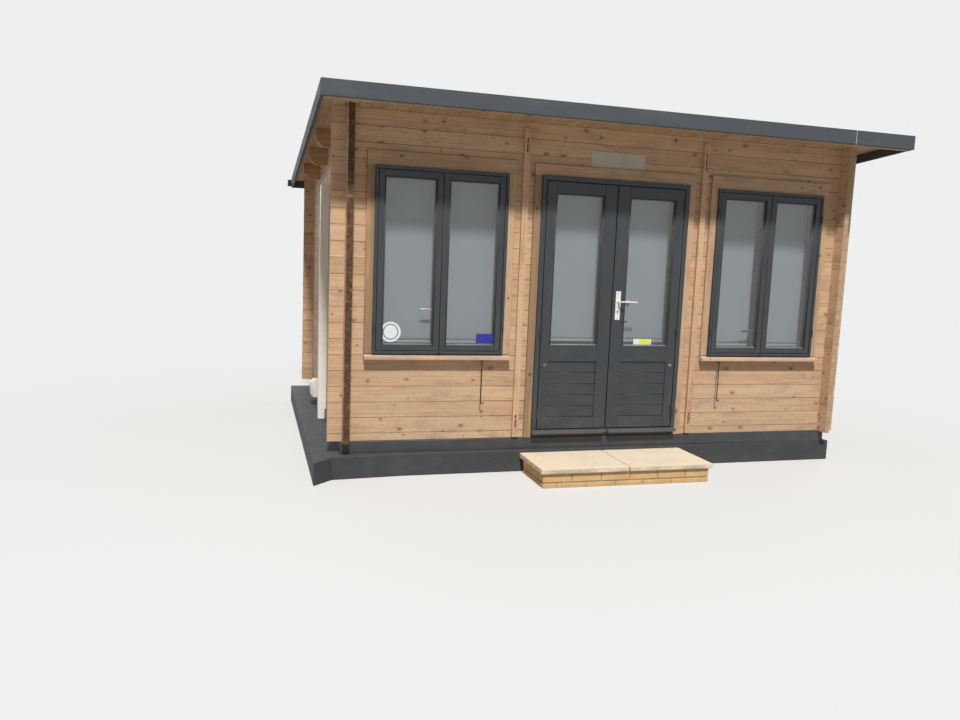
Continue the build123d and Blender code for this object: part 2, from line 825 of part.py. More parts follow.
for side, name in ((-1, "left_door"), (1, "right_door")):

    # Leaf: stiles and rails, bored for the lever on the right
    with BuildPart() as leaf:
        with BuildSketch(Plane.XZ.offset(-frame_front)):
            with Locations((side * (meeting_half_gap + leaf_width / 2), (leaf_low + leaf_high) / 2)):
                Rectangle(leaf_width, leaf_height)
            with Locations((side * field_x, panel_middle)):
                Rectangle(field_width, leaf_panel_height, mode=Mode.SUBTRACT)
            with Locations((side * field_x, door_pane_middle)):
                Rectangle(field_width, door_pane_height, mode=Mode.SUBTRACT)
            if side > 0:
                with Locations((lever_x, lever_z)):
                    Circle(spindle_radius + spindle_fit, mode=Mode.SUBTRACT)
        extrude(amount=-leaf_thickness)
    save(leaf.part, f"{name}_leaf")

    # Lower panel of boards with a V at each joint
    with BuildPart() as panel:
        with BuildSketch(Plane.XZ.offset(-panel_front)):
            with Locations((side * field_x, panel_middle)):
                Rectangle(field_width, leaf_panel_height)
        extrude(amount=-panel_thickness)
        with BuildSketch(Plane.YZ.offset(side * field_x - field_width / 2)):
            for index in range(1, panel_boards):
                groove_z = panel_low + index * panel_board_height
                with BuildLine():
                    Polyline(
                        (panel_front, groove_z - panel_groove),
                        (panel_front + panel_groove, groove_z),
                        (panel_front, groove_z + panel_groove),
                        close=True,
                    )
                make_face()
        extrude(amount=field_width, mode=Mode.SUBTRACT)
    save(panel.part, f"{name}_panel")

    # Glass over the panel
    with BuildPart() as pane:
        with BuildSketch(Plane.XZ.offset(-frame_front - pane_recess)):
            with Locations((side * field_x, door_pane_middle)):
                Rectangle(field_width, door_pane_height)
        extrude(amount=-pane_thickness)
    save(pane.part, f"{name}_glass")

    # Roller blind on the inside of the leaf
    blind = roller_blinds(
        [side * field_x - door_blind_width / 2],
        door_blind_width,
        leaf_back,
        door_blind_standoff,
        door_pane_low + door_blind_hem_rise,
        door_pane_high + door_blind_top_rise,
    )
    save(blind, f"{name}_blind")

    # Hinge halves on the leaf, and the screw eye that a cabin hook drops into
    with BuildPart() as fittings:
        for height in hinge_heights:
            with BuildSketch(Plane.XY.offset(wall_base + height)):
                with Locations((side * hinge_x, hinge_y)):
                    Circle(hinge_radius)
                with Locations((side * (hinge_x - hinge_flap_width / 2), flap_y)):
                    Rectangle(hinge_flap_width, hinge_flap_thickness)
                with Locations((side * hinge_x, hinge_y)):
                    Circle(hinge_pin_radius + hinge_pin_fit, mode=Mode.SUBTRACT)
            extrude(amount=hinge_half_height)
        with BuildSketch(Plane.XZ.offset(-frame_front)):
            with Locations((side * door_eye_x, door_eye_z)):
                Circle(door_eye_wire)
        extrude(amount=door_eye_shank)
        ring_y = frame_front - door_eye_shank - door_eye_radius * cos(radians(door_eye_tilt))
        ring_z = door_eye_z + door_eye_radius * sin(radians(door_eye_tilt))
        with Locations((side * door_eye_x, ring_y, ring_z)):
            Torus(door_eye_radius, door_eye_wire, rotation=(-door_eye_tilt, 0, 0))
    save(fittings.part, f"{name}_fittings")

# Handle plates on both faces of the right leaf
plate_middle = lever_z + plate_above_lever - plate_height / 2
with BuildPart() as handle_plates:
    for plate_face in (frame_front - plate_thickness, leaf_back):
        with BuildSketch(Plane.XZ.offset(-plate_face)):
            with Locations((lever_x, plate_middle)):
                Rectangle(plate_width, plate_height)
            with Locations((lever_x, lever_z)):
                Circle(spindle_radius + spindle_fit, mode=Mode.SUBTRACT)
        extrude(amount=-plate_thickness)
save(handle_plates.part, "handle_plates")

# Lever: an arm on each side of the door on one spindle
lever_front = frame_front - plate_thickness - lever_neck
lever_back = leaf_back + plate_thickness + lever_neck
with BuildPart() as door_lever:
    with BuildSketch(Plane.XZ.offset(-lever_front)):
        with Locations((lever_x, lever_z)):
            Circle(spindle_radius)
    extrude(amount=-(lever_back - lever_front))
    for arm_face in (lever_front - lever_arm_thickness / 2, lever_back - lever_arm_thickness / 2):
        with BuildSketch(Plane.XZ.offset(-arm_face)):
            with Locations((lever_x + lever_arm / 2, lever_z)):
                SlotCenterToCenter(lever_arm, lever_arm_height)
        extrude(amount=-lever_arm_thickness)
save(door_lever.part, "door_lever")

# Screw eyes in the wall for the cabin hooks
hook_places = (hook_offset - hook_spacing / 2, hook_offset + hook_spacing / 2)
hook_y = front_face - hook_standoff
pivot_z = wall_base + hook_pivot_height
wall_eye_z = pivot_z + eye_radius
with BuildPart() as hook_eyes:
    with BuildSketch(Plane.XZ.offset(-front_face)):
        with Locations([(place, wall_eye_z) for place in hook_places]):
            Circle(eye_wire)
    extrude(amount=hook_standoff - eye_radius)
    with Locations([(place, hook_y, wall_eye_z) for place in hook_places]):
        Torus(eye_radius, eye_wire, rotation=(0, 90, 0))
save(hook_eyes.part, "hook_eyes")

# Cabin hooks, each hanging by its ring from a screw eye, with a curl at the foot of the bar
hook_ring_z = pivot_z - (eye_radius - 2 * eye_wire - eye_fit)
bar_top_z = hook_ring_z - eye_radius
bar_foot_z = pivot_z - hook_length + hook_curl
for place, name in zip(hook_places, ("left_cabin_hook", "right_cabin_hook")):
    with BuildPart() as cabin_hook:
        with BuildLine(Plane.XZ.offset(-hook_y)):
            bar = Line((place, bar_top_z), (place, bar_foot_z))
            JernArc(bar @ 1, bar % 1, hook_curl, hook_curl_turn)
        with BuildSketch(Plane(origin=(place, hook_y, bar_top_z), x_dir=(1, 0, 0), z_dir=(0, 0, -1))):
            Circle(hook_wire)
        sweep()
        with Locations((place, hook_y, hook_ring_z)):
            Torus(eye_radius, eye_wire, rotation=(90, 0, 0))
    save(cabin_hook.part, name)

# Sign plate over the doorway
sign_low = door_trim_top + sign_above_trim
with BuildPart() as sign_plate:
    with BuildSketch(Plane.XZ.offset(-front_face)):
        with Locations((0, sign_low + sign_height / 2)):
            Rectangle(sign_width, sign_height)
    extrude(amount=sign_thickness)
save(sign_plate.part, "sign_plate")

# Cover over the service lines on the left wall, an open channel standing on the slab
cover_y = front_face + cover_front
cover_high = wall_base + cover_top
cover_outer = -half_length - cover_reach
with BuildPart() as line_cover:
    with BuildSketch(Plane.XZ.offset(-cover_y)):
        with BuildLine():
            Polyline(
                (cover_outer, slab_height),
                (-half_length - bearer_proud, slab_height),
                (-half_length - bearer_proud, wall_base),
                (-half_length, wall_base),
                (-half_length, cover_high),
                (cover_outer, cover_high),
                close=True,
            )
        make_face()
    extrude(amount=-cover_width)
    top_edges = line_cover.edges().filter_by(Axis.Y).sort_by(Axis.Z)[-2:]
    fillet(top_edges.sort_by(Axis.X)[0], cover_rounding)
    with BuildSketch(Plane.XY.offset(slab_height)):
        with Locations((-half_length - (cover_reach - cover_wall) / 2, cover_y + cover_width / 2)):
            Rectangle(cover_reach - cover_wall, cover_width - 2 * cover_wall)
    extrude(amount=cover_high - slab_height - cover_wall, mode=Mode.SUBTRACT)
save(line_cover.part, "line_cover")

# Isolator box low on the left wall, with its outer corners bevelled
with BuildPart() as isolator_box:
    with BuildSketch(Plane.YZ.offset(-half_length)):
        with Locations((front_face + isolator_middle, wall_base + isolator_size / 2)):
            Rectangle(isolator_size, isolator_size)
    extrude(amount=-isolator_reach)
    chamfer(isolator_box.faces().sort_by(Axis.X)[0].edges(), isolator_chamfer)
save(isolator_box.part, "isolator_box")


def slab_front(x):
    """Front edge of the base slab, to the right of its left corner."""
    share = (x - slab_middle_x) / (slab_right - slab_middle_x)
    return slab_middle_y + share * (slab_right_y - slab_middle_y)


def step_outline(left, right, front):
    """Plan of a piece of the doorstep, fitted to the slab's slanting front."""
    return [
        (left, front),
        (right, front),
        (right, slab_front(right) - step_to_slab_gap),
        (left, slab_front(left) - step_to_slab_gap),
    ]


# Doorstep brickwork
step_left = step_offset - step_width / 2
step_front = front_face - step_reach
with BuildPart() as step_brickwork:
    with BuildSketch():
        with BuildLine():
            Polyline(
                *step_outline(
                    step_left + paving_overhang,
                    step_left + step_width - paving_overhang,
                    step_front + paving_overhang,
                ),
                close=True,
            )
        make_face()
    extrude(amount=step_height - paving_thickness)
save(step_brickwork.part, "step_brickwork")

# Paving slabs on the doorstep
paving_pitch = (step_width + paving_joint) / paving_count
with BuildPart() as step_paving:
    with BuildSketch(Plane.XY.offset(step_height - paving_thickness)):
        for index in range(paving_count):
            paving_left = step_left + index * paving_pitch
            with BuildLine():
                Polyline(
                    *step_outline(paving_left, paving_left + paving_pitch - paving_joint, step_front),
                    close=True,
                )
            make_face()
    extrude(amount=paving_thickness)
save(step_paving.part, "step_paving")
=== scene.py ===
import math
import random
import bmesh
import bpy
from mathutils import Matrix, Vector


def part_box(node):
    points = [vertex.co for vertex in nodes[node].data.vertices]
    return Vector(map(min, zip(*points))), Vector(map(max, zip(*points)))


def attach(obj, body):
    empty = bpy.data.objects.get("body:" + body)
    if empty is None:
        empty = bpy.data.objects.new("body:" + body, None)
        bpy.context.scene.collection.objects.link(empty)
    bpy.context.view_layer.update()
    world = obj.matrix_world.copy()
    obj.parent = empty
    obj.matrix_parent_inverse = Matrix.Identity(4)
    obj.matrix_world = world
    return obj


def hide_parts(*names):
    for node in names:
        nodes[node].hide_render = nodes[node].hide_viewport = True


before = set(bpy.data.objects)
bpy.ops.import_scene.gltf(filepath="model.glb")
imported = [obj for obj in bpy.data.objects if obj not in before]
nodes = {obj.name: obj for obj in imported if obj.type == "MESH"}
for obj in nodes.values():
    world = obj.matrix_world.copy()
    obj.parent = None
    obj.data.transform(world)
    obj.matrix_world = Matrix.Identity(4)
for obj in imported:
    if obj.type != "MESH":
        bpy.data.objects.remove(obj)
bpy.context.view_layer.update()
dice = random.Random(7)
axes = {"x": Vector((1, 0, 0)), "y": Vector((0, 1, 0)), "z": Vector((0, 0, 1))}
print("frame loaded:", len(nodes), "nodes")

# places taken from the frame
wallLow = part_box("front_wall_left")[0]
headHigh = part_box("front_wall_at_doorway")[1]
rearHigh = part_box("rear_wall")[1]
sideLow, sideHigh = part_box("left_wall")
roofLow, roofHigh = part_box("roof_boards")
frameLow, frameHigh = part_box("window_frames")
sashLow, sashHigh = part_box("window_sashes")
doorwayLow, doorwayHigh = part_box("door_frame")
leafLow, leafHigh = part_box("right_door_leaf")
paneLow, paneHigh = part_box("right_door_glass")
panelLow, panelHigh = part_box("right_door_panel")
frontFace, innerFace = wallLow.y, headHigh.y
sideOuter, sideInner = sideLow.x, sideHigh.x
wallBase, frontTop = wallLow.z, headHigh.z
roofFall = (frontTop - rearHigh.z) / (rearHigh.y - frontFace)

view = {
    "place": (-2.655, -7.175, 1.580), "yaw": 0.2797, "pitch": -0.1239, "roll": 0.0398,
    "lens": 30.06, "sensor": 36, "reach": 200,
}
yaw, pitch, roll = view["yaw"], view["pitch"], view["roll"]
ahead = Vector((math.sin(yaw) * math.cos(pitch), math.cos(yaw) * math.cos(pitch), math.sin(pitch)))
level = Vector((math.cos(yaw), -math.sin(yaw), 0))
upright = level.cross(ahead)
right = level * math.cos(roll) + upright * math.sin(roll)
above = upright * math.cos(roll) - level * math.sin(roll)
cameraData = bpy.data.cameras.new("camera")
cameraData.lens = view["lens"]
cameraData.sensor_width = view["sensor"]
cameraData.clip_end = view["reach"]
camera = bpy.data.objects.new("camera", cameraData)
turn = Matrix((right, above, -ahead)).transposed().to_4x4()
camera.matrix_world = Matrix.Translation(view["place"]) @ turn
bpy.context.scene.collection.objects.link(camera)
bpy.context.scene.camera = camera
print("camera set")


def fillSockets(tree, node, links):
    # a socket takes a link or a value, and a colour comes without its alpha
    for name, source in links.items():
        socket = node.inputs[name]
        if isinstance(source, bpy.types.NodeSocket):
            tree.links.new(source, socket)
        else:
            socket.default_value = (*source, 1) if socket.type == "RGBA" else source
    return node.outputs


def addNode(tree, kind, links=None, **settings):
    node = tree.nodes.new(kind)
    for key, value in settings.items():
        setattr(node, key, value)
    return fillSockets(tree, node, links or {})


def calc(tree, operation, *values):
    return addNode(tree, "ShaderNodeMath", dict(enumerate(values)), operation=operation)[0]


def times(tree, first, second):
    return calc(tree, "MULTIPLY", first, second)


def plus(tree, first, second):
    return calc(tree, "ADD", first, second)


def timesPlus(tree, value, factor, added):
    return calc(tree, "MULTIPLY_ADD", value, factor, added)


def vectorCalc(tree, operation, *values):
    return addNode(tree, "ShaderNodeVectorMath", dict(enumerate(values)), operation=operation)


def stretch(tree, place, sizes):
    return vectorCalc(tree, "MULTIPLY", place, sizes)[0]


def vectorOf(tree, *values):
    return addNode(tree, "ShaderNodeCombineXYZ", dict(enumerate(values)))[0]


def partsOf(tree, vector):
    return addNode(tree, "ShaderNodeSeparateXYZ", {0: vector})


def blend(tree, share, first, second):
    return addNode(tree, "ShaderNodeMix", {0: share, 6: first, 7: second}, data_type="RGBA")[2]


def remap(tree, value, low, high, least=0.0, most=1.0):
    links = {"Value": value, "From Min": low, "From Max": high, "To Min": least, "To Max": most}
    return addNode(tree, "ShaderNodeMapRange", links, interpolation_type="SMOOTHSTEP")[0]


def noise(tree, place, scale=1.0, detail=2.0, rough=0.5, output=0):
    links = {"Vector": place, "Scale": scale, "Detail": detail, "Roughness": rough}
    return addNode(tree, "ShaderNodeTexNoise", links)[output]


def pattern(tree, place, sizes, detail=2.0, rough=0.5):
    return noise(tree, stretch(tree, place, sizes), 1.0, detail, rough)


def bump(tree, height, strength, distance):
    links = {"Height": height, "Strength": strength, "Distance": distance}
    return addNode(tree, "ShaderNodeBump", links)[0]


def attribute(tree, name, output="Fac"):
    return addNode(tree, "ShaderNodeAttribute", attribute_name=name)[output]


def grainPlace(tree):
    return {"Grain": attribute(tree, "grain", "Vector"), "Tone": attribute(tree, "tone")}


def objectPlace(tree):
    return addNode(tree, "ShaderNodeTexCoord")["Object"]


def mixShaders(tree, share, first, second):
    return addNode(tree, "ShaderNodeMixShader", {0: share, 1: first, 2: second})[0]


def seenPlainly(tree):
    # rays from the camera, off gloss and through glass
    rays = addNode(tree, "ShaderNodeLightPath")
    seen = calc(tree, "MAXIMUM", rays["Is Camera Ray"], rays["Is Glossy Ray"])
    return calc(tree, "MAXIMUM", seen, rays["Is Transmission Ray"])


def newGroup(name, inputs, outputs):
    group = bpy.data.node_groups.new(name, "ShaderNodeTree")
    kinds = {"v": "NodeSocketVector", "f": "NodeSocketFloat", "c": "NodeSocketColor"}
    for way, sockets in (("INPUT", inputs), ("OUTPUT", outputs)):
        for label, kind in sockets.items():
            group.interface.new_socket(label, in_out=way, socket_type=kinds[kind])
    return group, addNode(group, "NodeGroupInput")


def useGroup(tree, group, links):
    return addNode(tree, "ShaderNodeGroup", links, node_tree=group)


def setShader(tree, shader, **values):
    fillSockets(tree, shader, {socket.replace("_", " "): value for socket, value in values.items()})


def newMaterial(name, **plain):
    made = bpy.data.materials.new(name)
    made.use_nodes = True
    shader = made.node_tree.nodes["Principled BSDF"]
    setShader(made.node_tree, shader, **plain)
    return made, made.node_tree, shader


def setSurface(tree, surface):
    tree.links.new(surface, tree.nodes["Material Output"].inputs["Surface"])


# stretches of the wood's patterns along, across and through a board, and how much each one counts
figure = {
    "seeds": (53.0, 11.0, 5.0), "ownSeed": 91.0,
    "ragged": (22.0, 40.0, 0.0), "raggedBy": (0.16, 0.16, 0.0),
    "knotCells": (6.5, 9.5, 0.0), "knotRadius": (0.045, 0.135), "knotRings": 22.0, "knotShade": (0.55, 0.85),
    "warp": (1.3, 7.0, 3.0), "bend": 0.05, "bulge": 0.016,
    "streaks": (0.8, 130.0, 26.0), "streakShare": 0.52, "streakBase": -0.08,
    "fibres": (9.0, 800.0, 300.0), "fibreShare": 0.16,
    "bands": (0.9, 6.0, 3.0), "bandShare": 0.30, "ownShade": 0.22,
    "warm": (2.1, 14.0, 7.0), "warmColour": (0.80, 0.44, 0.225), "warmShare": 0.34,
    "stains": (4.2, 13.0, 7.0), "halo": 0.35, "specks": (46.0, 120.0, 60.0), "speckShare": 0.55,
}


def makeWoodGrain():
    # along, across and through the board, in metres from its heart
    tree, given = newGroup(
        "woodGrain",
        {"Grain": "v", "Tone": "f", "Pale": "c", "Dark": "c", "Knot": "c", "Stain": "c", "Knots": "f", "Stains": "f"},
        {"Color": "c", "Height": "f"},
    )
    shift = vectorOf(tree, *(times(tree, given["Tone"], seed) for seed in figure["seeds"]))
    place = vectorCalc(tree, "ADD", given["Grain"], shift)[0]
    ragged = noise(tree, stretch(tree, place, figure["ragged"]), output="Color")
    cellPlace = stretch(tree, place, figure["knotCells"])
    cellPlace = vectorCalc(tree, "MULTIPLY_ADD", ragged, figure["raggedBy"], cellPlace)[0]
    cells = addNode(tree, "ShaderNodeTexVoronoi", {"Vector": cellPlace, "Scale": 1.0}, voronoi_dimensions="2D")
    chance = addNode(tree, "ShaderNodeSeparateColor", {0: cells["Color"]})
    radius = remap(tree, chance[1], 0.0, 1.0, *figure["knotRadius"])
    ratio = calc(tree, "DIVIDE", cells["Distance"], radius)
    kept = calc(tree, "LESS_THAN", chance[0], given["Knots"])
    knot = times(tree, kept, remap(tree, ratio, 0.55, 1.05, 1.0, 0.0))
    halo = times(tree, kept, remap(tree, ratio, 0.9, 2.4, 1.0, 0.0))
    # streaks bend round the knots
    warp = times(tree, pattern(tree, place, figure["warp"]), figure["bend"])
    sway = vectorOf(tree, 0.0, plus(tree, warp, times(tree, halo, figure["bulge"])))
    wavy = vectorCalc(tree, "ADD", place, sway)[0]
    streak = remap(tree, pattern(tree, wavy, figure["streaks"], 2.0, 0.6), 0.36, 0.68)
    fibre = pattern(tree, place, figure["fibres"], 1.0)
    bands = remap(tree, pattern(tree, place, figure["bands"]), 0.3, 0.7)
    depth = timesPlus(tree, streak, figure["streakShare"], figure["streakBase"])
    depth = timesPlus(tree, fibre, figure["fibreShare"], depth)
    depth = timesPlus(tree, bands, figure["bandShare"], depth)
    own = noise(tree, vectorOf(tree, times(tree, given["Tone"], figure["ownSeed"])), 1.0, 0.0)
    depth = plus(tree, remap(tree, own, 0.25, 0.75, -figure["ownShade"], figure["ownShade"]), depth)
    colour = blend(tree, depth, given["Pale"], given["Dark"])
    warm = remap(tree, pattern(tree, place, figure["warm"], 3.0, 0.6), 0.50, 0.74, 0.0, figure["warmShare"])
    colour = blend(tree, warm, colour, figure["warmColour"])
    blotch = remap(tree, pattern(tree, place, figure["stains"], 5.0, 0.66), 0.47, 0.70)
    blotch = times(tree, blotch, given["Stains"])
    blotch = calc(tree, "MAXIMUM", blotch, times(tree, halo, figure["halo"]))
    colour = blend(tree, blotch, colour, given["Stain"])
    speck = pattern(tree, place, figure["specks"], 1.0)
    speck = remap(tree, speck, 0.62, 0.72, 0.0, figure["speckShare"])
    colour = blend(tree, speck, colour, given["Stain"])
    wave = calc(tree, "SINE", times(tree, ratio, figure["knotRings"]))
    shade = times(tree, knot, remap(tree, wave, -1.0, 1.0, *figure["knotShade"]))
    height = timesPlus(tree, streak, -0.5, times(tree, fibre, 0.5))
    height = plus(tree, height, times(tree, knot, 0.4))
    addNode(tree, "NodeGroupOutput", {"Color": blend(tree, shade, colour, given["Knot"]), "Height": height})
    return tree


rings = {"pith": 0.09, "seed": 9.0, "pitch": 1300.0, "wobble": 5.0, "grit": 34.0, "chips": 62.0}


def makeEndGrain():
    # growth rings round a pith that differs from board to board
    tree, given = newGroup(
        "endGrain",
        {"Grain": "v", "Tone": "f", "Pale": "c", "Dark": "c", "Fleck": "c", "Flecks": "f"},
        {"Color": "c", "Height": "f"},
    )
    parts = partsOf(tree, given["Grain"])
    pith = timesPlus(tree, given["Tone"], rings["pith"], -rings["pith"] / 2)
    flat = vectorOf(tree, calc(tree, "SUBTRACT", parts[1], pith), plus(tree, parts[2], pith))
    reach = vectorCalc(tree, "LENGTH", flat)["Value"]
    seed = vectorOf(tree, times(tree, given["Tone"], rings["seed"]))
    moved = vectorCalc(tree, "ADD", stretch(tree, given["Grain"], (0.0, 1.0, 1.0)), seed)[0]
    rough = noise(tree, moved, rings["grit"], 3.0)
    wave = timesPlus(tree, rough, rings["wobble"], times(tree, reach, rings["pitch"]))
    wave = remap(tree, calc(tree, "SINE", wave), -1.0, 1.0)
    heart = remap(tree, plus(tree, reach, times(tree, rough, 0.03)), 0.010, 0.060, 0.3, 0.0)
    share = timesPlus(tree, wave, 0.14, times(tree, remap(tree, rough, 0.3, 0.7), 0.42))
    share = calc(tree, "SUBTRACT", plus(tree, share, 0.42), heart)
    colour = blend(tree, share, given["Pale"], given["Dark"])
    chips = noise(tree, stretch(tree, moved, (1.0, 1.0, 0.55)), rings["chips"], 3.0, 0.6)
    chips = times(tree, remap(tree, chips, 0.56, 0.74), given["Flecks"])
    addNode(tree, "NodeGroupOutput", {"Color": blend(tree, chips, colour, given["Fleck"]), "Height": wave})
    return tree


def makeWeathering():
    # grime that gathers low down, and faint runs and dust over the rest
    tree, given = newGroup(
        "weathering",
        {"Place": "v", "Color": "c", "Grime": "c", "Low": "f", "High": "f", "Amount": "f"},
        {"Color": "c"},
    )
    height = partsOf(tree, given["Place"])[2]
    cloud = noise(tree, stretch(tree, given["Place"], (1.0, 1.0, 1.5)), 7.0, 5.0, 0.65)
    low = remap(tree, height, given["Low"], given["High"], 1.0, 0.12)
    mask = times(tree, times(tree, low, remap(tree, cloud, 0.35, 0.72)), given["Amount"])
    addNode(tree, "NodeGroupOutput", {"Color": blend(tree, mask, given["Color"], given["Grime"])})
    return tree


def makeBrushedPaint():
    # brush marks along the board, with the wood's grain telegraphing through
    tree, given = newGroup(
        "brushedPaint",
        {"Grain": "v", "Tone": "f", "Color": "c", "Worn": "c", "Wear": "f"},
        {"Color": "c", "Roughness": "f", "Height": "f"},
    )
    shift = vectorOf(tree, times(tree, given["Tone"], 37.0), given["Tone"])
    place = vectorCalc(tree, "ADD", given["Grain"], shift)[0]
    marks = pattern(tree, place, (2.5, 240.0, 240.0))
    grain = pattern(tree, place, (1.5, 70.0, 20.0), 3.0)
    cloud = pattern(tree, place, (2.0, 9.0, 9.0), 4.0, 0.6)
    faded = times(tree, remap(tree, cloud, 0.45, 0.75), given["Wear"])
    colour = blend(tree, faded, given["Color"], given["Worn"])
    colour = blend(tree, times(tree, remap(tree, marks, 0.4, 0.8), 0.12), colour, given["Worn"])
    addNode(tree, "NodeGroupOutput", {
        "Color": colour,
        "Roughness": remap(tree, plus(tree, marks, cloud), 0.6, 1.4, 0.36, 0.56),
        "Height": timesPlus(tree, marks, 0.4, grain),
    })
    return tree


def makeSpeckle():
    # grit of a given size in three colours, the third in broad clouds
    tree, given = newGroup(
        "speckle",
        {"Place": "v", "Size": "f", "Color": "c", "Second": "c", "Third": "c"},
        {"Color": "c", "Height": "f"},
    )
    fine = noise(tree, given["Place"], calc(tree, "DIVIDE", 1.0, given["Size"]), 3.0, 0.7)
    broad = noise(tree, given["Place"], 5.0, 4.0, 0.6)
    colour = blend(tree, remap(tree, fine, 0.42, 0.62), given["Color"], given["Second"])
    colour = blend(tree, times(tree, remap(tree, broad, 0.45, 0.75), 0.6), colour, given["Third"])
    addNode(tree, "NodeGroupOutput", {"Color": colour, "Height": fine})
    return tree


woodGrain = makeWoodGrain()
endGrain = makeEndGrain()
weathering = makeWeathering()
brushedPaint = makeBrushedPaint()
speckle = makeSpeckle()
print("shared effects made")

dirt = {
    "wood": (0.24, 0.17, 0.11), "paint": (0.26, 0.22, 0.17), "stone": (0.20, 0.15, 0.10),
    "plastic": (0.33, 0.29, 0.23), "plasticHeights": (0.15, 1.2),
}
seamShade = {"colour": (0.10, 0.046, 0.024), "share": 0.60}
woodStain = (0.315, 0.225, 0.16)


def weather(tree, colour, kind, low, high, amount):
    links = {"Place": objectPlace(tree), "Color": colour, "Grime": dirt[kind]}
    return useGroup(tree, weathering, {**links, "Low": low, "High": high, "Amount": amount})["Color"]


def woodFinish(name, pale, dark, knot, knots, low, high, grime, stains=0.45, roughness=0.62):
    made, tree, shader = newMaterial(name, Specular_IOR_Level=0.3)
    colours = {"Pale": pale, "Dark": dark, "Knot": knot, "Stain": woodStain}
    wood = useGroup(tree, woodGrain, {**grainPlace(tree), **colours, "Knots": knots, "Stains": stains})
    worn = weather(tree, wood["Color"], "wood", low, high, grime)
    seam = times(tree, attribute(tree, "seam"), seamShade["share"])
    setShader(
        tree, shader,
        Base_Color=blend(tree, seam, worn, seamShade["colour"]),
        Roughness=remap(tree, wood["Height"], -0.4, 0.5, roughness - 0.08, roughness + 0.1),
        Normal=bump(tree, wood["Height"], 0.35, 0.0012),
    )
    return made


def endFinish(name, pale, dark, fleck, flecks):
    made, tree, shader = newMaterial(name, Specular_IOR_Level=0.2, Roughness=0.8)
    colours = {"Pale": pale, "Dark": dark, "Fleck": fleck}
    ends = useGroup(tree, endGrain, {**grainPlace(tree), **colours, "Flecks": flecks})
    setShader(tree, shader, Base_Color=ends["Color"], Normal=bump(tree, ends["Height"], 0.4, 0.001))
    return made


def paintFinish(name, colour, worn, wear, low, high, grime, gloss=0.4, matt=0.0):
    made, tree, shader = newMaterial(name, Specular_IOR_Level=gloss)
    paint = useGroup(tree, brushedPaint, {**grainPlace(tree), "Color": colour, "Worn": worn, "Wear": wear})
    setShader(
        tree, shader,
        Base_Color=weather(tree, paint["Color"], "paint", low, high, grime),
        Roughness=plus(tree, paint["Roughness"], matt),
        Normal=bump(tree, paint["Height"], 0.3, 0.0006),
    )
    return made


def stoneFinish(name, colour, second, third, size, roughness, depth, low, high, grime):
    made, tree, shader = newMaterial(name, Specular_IOR_Level=0.25, Roughness=roughness)
    colours = {"Color": colour, "Second": second, "Third": third}
    grit = useGroup(tree, speckle, {"Place": objectPlace(tree), "Size": size, **colours})
    dusty = weather(tree, grit["Color"], "stone", low, high, grime)
    setShader(tree, shader, Base_Color=dusty, Normal=bump(tree, grit["Height"], 0.5, depth))
    return made


def plasticFinish(name, colour, second, roughness, grime, metallic=0.0):
    made, tree, shader = newMaterial(name, Specular_IOR_Level=0.45, Metallic=metallic)
    place = objectPlace(tree)
    cloud = noise(tree, place, 14.0, 4.0, 0.6)
    colour = blend(tree, remap(tree, cloud, 0.4, 0.75), colour, second)
    setShader(
        tree, shader,
        Base_Color=weather(tree, colour, "plastic", *dirt["plasticHeights"], grime),
        Roughness=remap(tree, cloud, 0.3, 0.7, roughness - 0.06, roughness + 0.12),
        Normal=bump(tree, noise(tree, place, 260.0, 2.0), 0.15, 0.0003),
    )
    return made


def glassFinish():
    made, tree, shader = newMaterial(
        "clearGlass", Base_Color=(0.97, 0.98, 0.975), IOR=1.45, Specular_IOR_Level=0.14,
        Transmission_Weight=1.0, Metallic=0.0,
    )
    smear = noise(tree, stretch(tree, objectPlace(tree), (1.0, 1.0, 0.35)), 7.0, 4.0, 0.6)
    setShader(tree, shader, Roughness=remap(tree, smear, 0.45, 0.8, 0.0, 0.015))
    clear = addNode(tree, "ShaderNodeBsdfTransparent", {"Color": (0.92, 0.93, 0.925)})[0]
    rays = addNode(tree, "ShaderNodeLightPath")
    straight = calc(tree, "MAXIMUM", rays["Is Shadow Ray"], rays["Is Diffuse Ray"])
    setSurface(tree, mixShaders(tree, straight, shader.outputs[0], clear))
    return made


# grey cloth whose blue cast is painted reflection of the sky in the glass in front of it
weave = {
    "pitch": (2600.0, 2600.0, 0.0),
    "colours": ((0.292, 0.318, 0.366), (0.272, 0.296, 0.341), (0.312, 0.335, 0.382)),
    "hem": 0.030, "hemColour": (0.08, 0.088, 0.096),
}


def clothFinish():
    made, tree, shader = newMaterial("blindCloth", Specular_IOR_Level=0.15, Sheen_Weight=0.1, Roughness=0.85)
    woven = addNode(tree, "ShaderNodeUVMap", uv_map="weave")[0]
    threads = partsOf(tree, stretch(tree, woven, weave["pitch"]))
    slub = pattern(tree, woven, (14.0, 420.0, 1.0))
    shade = pattern(tree, woven, (1.2, 2.0, 1.0))
    colour = blend(tree, remap(tree, slub, 0.35, 0.7), *weave["colours"][:2])
    colour = blend(tree, times(tree, remap(tree, shade, 0.4, 0.7), 0.5), colour, weave["colours"][2])
    # the bar's pocket shows as a thin dark line above the hem
    offHem = calc(tree, "ABSOLUTE", calc(tree, "SUBTRACT", partsOf(tree, woven)[1], weave["hem"]))
    colour = blend(tree, remap(tree, offHem, 0.0012, 0.0045, 0.55, 0.0), colour, weave["hemColour"])
    height = times(tree, calc(tree, "SINE", threads[0]), calc(tree, "SINE", threads[1]))
    setShader(tree, shader, Base_Color=colour, Normal=bump(tree, height, 0.2, 0.0003))
    return made


felt = {
    "grit": 0.0022, "colours": ((0.040, 0.043, 0.046), (0.085, 0.09, 0.093), (0.065, 0.066, 0.064)),
    "rain": (0.135, 0.13, 0.115), "sheet": (0.026, 0.029, 0.034),
}


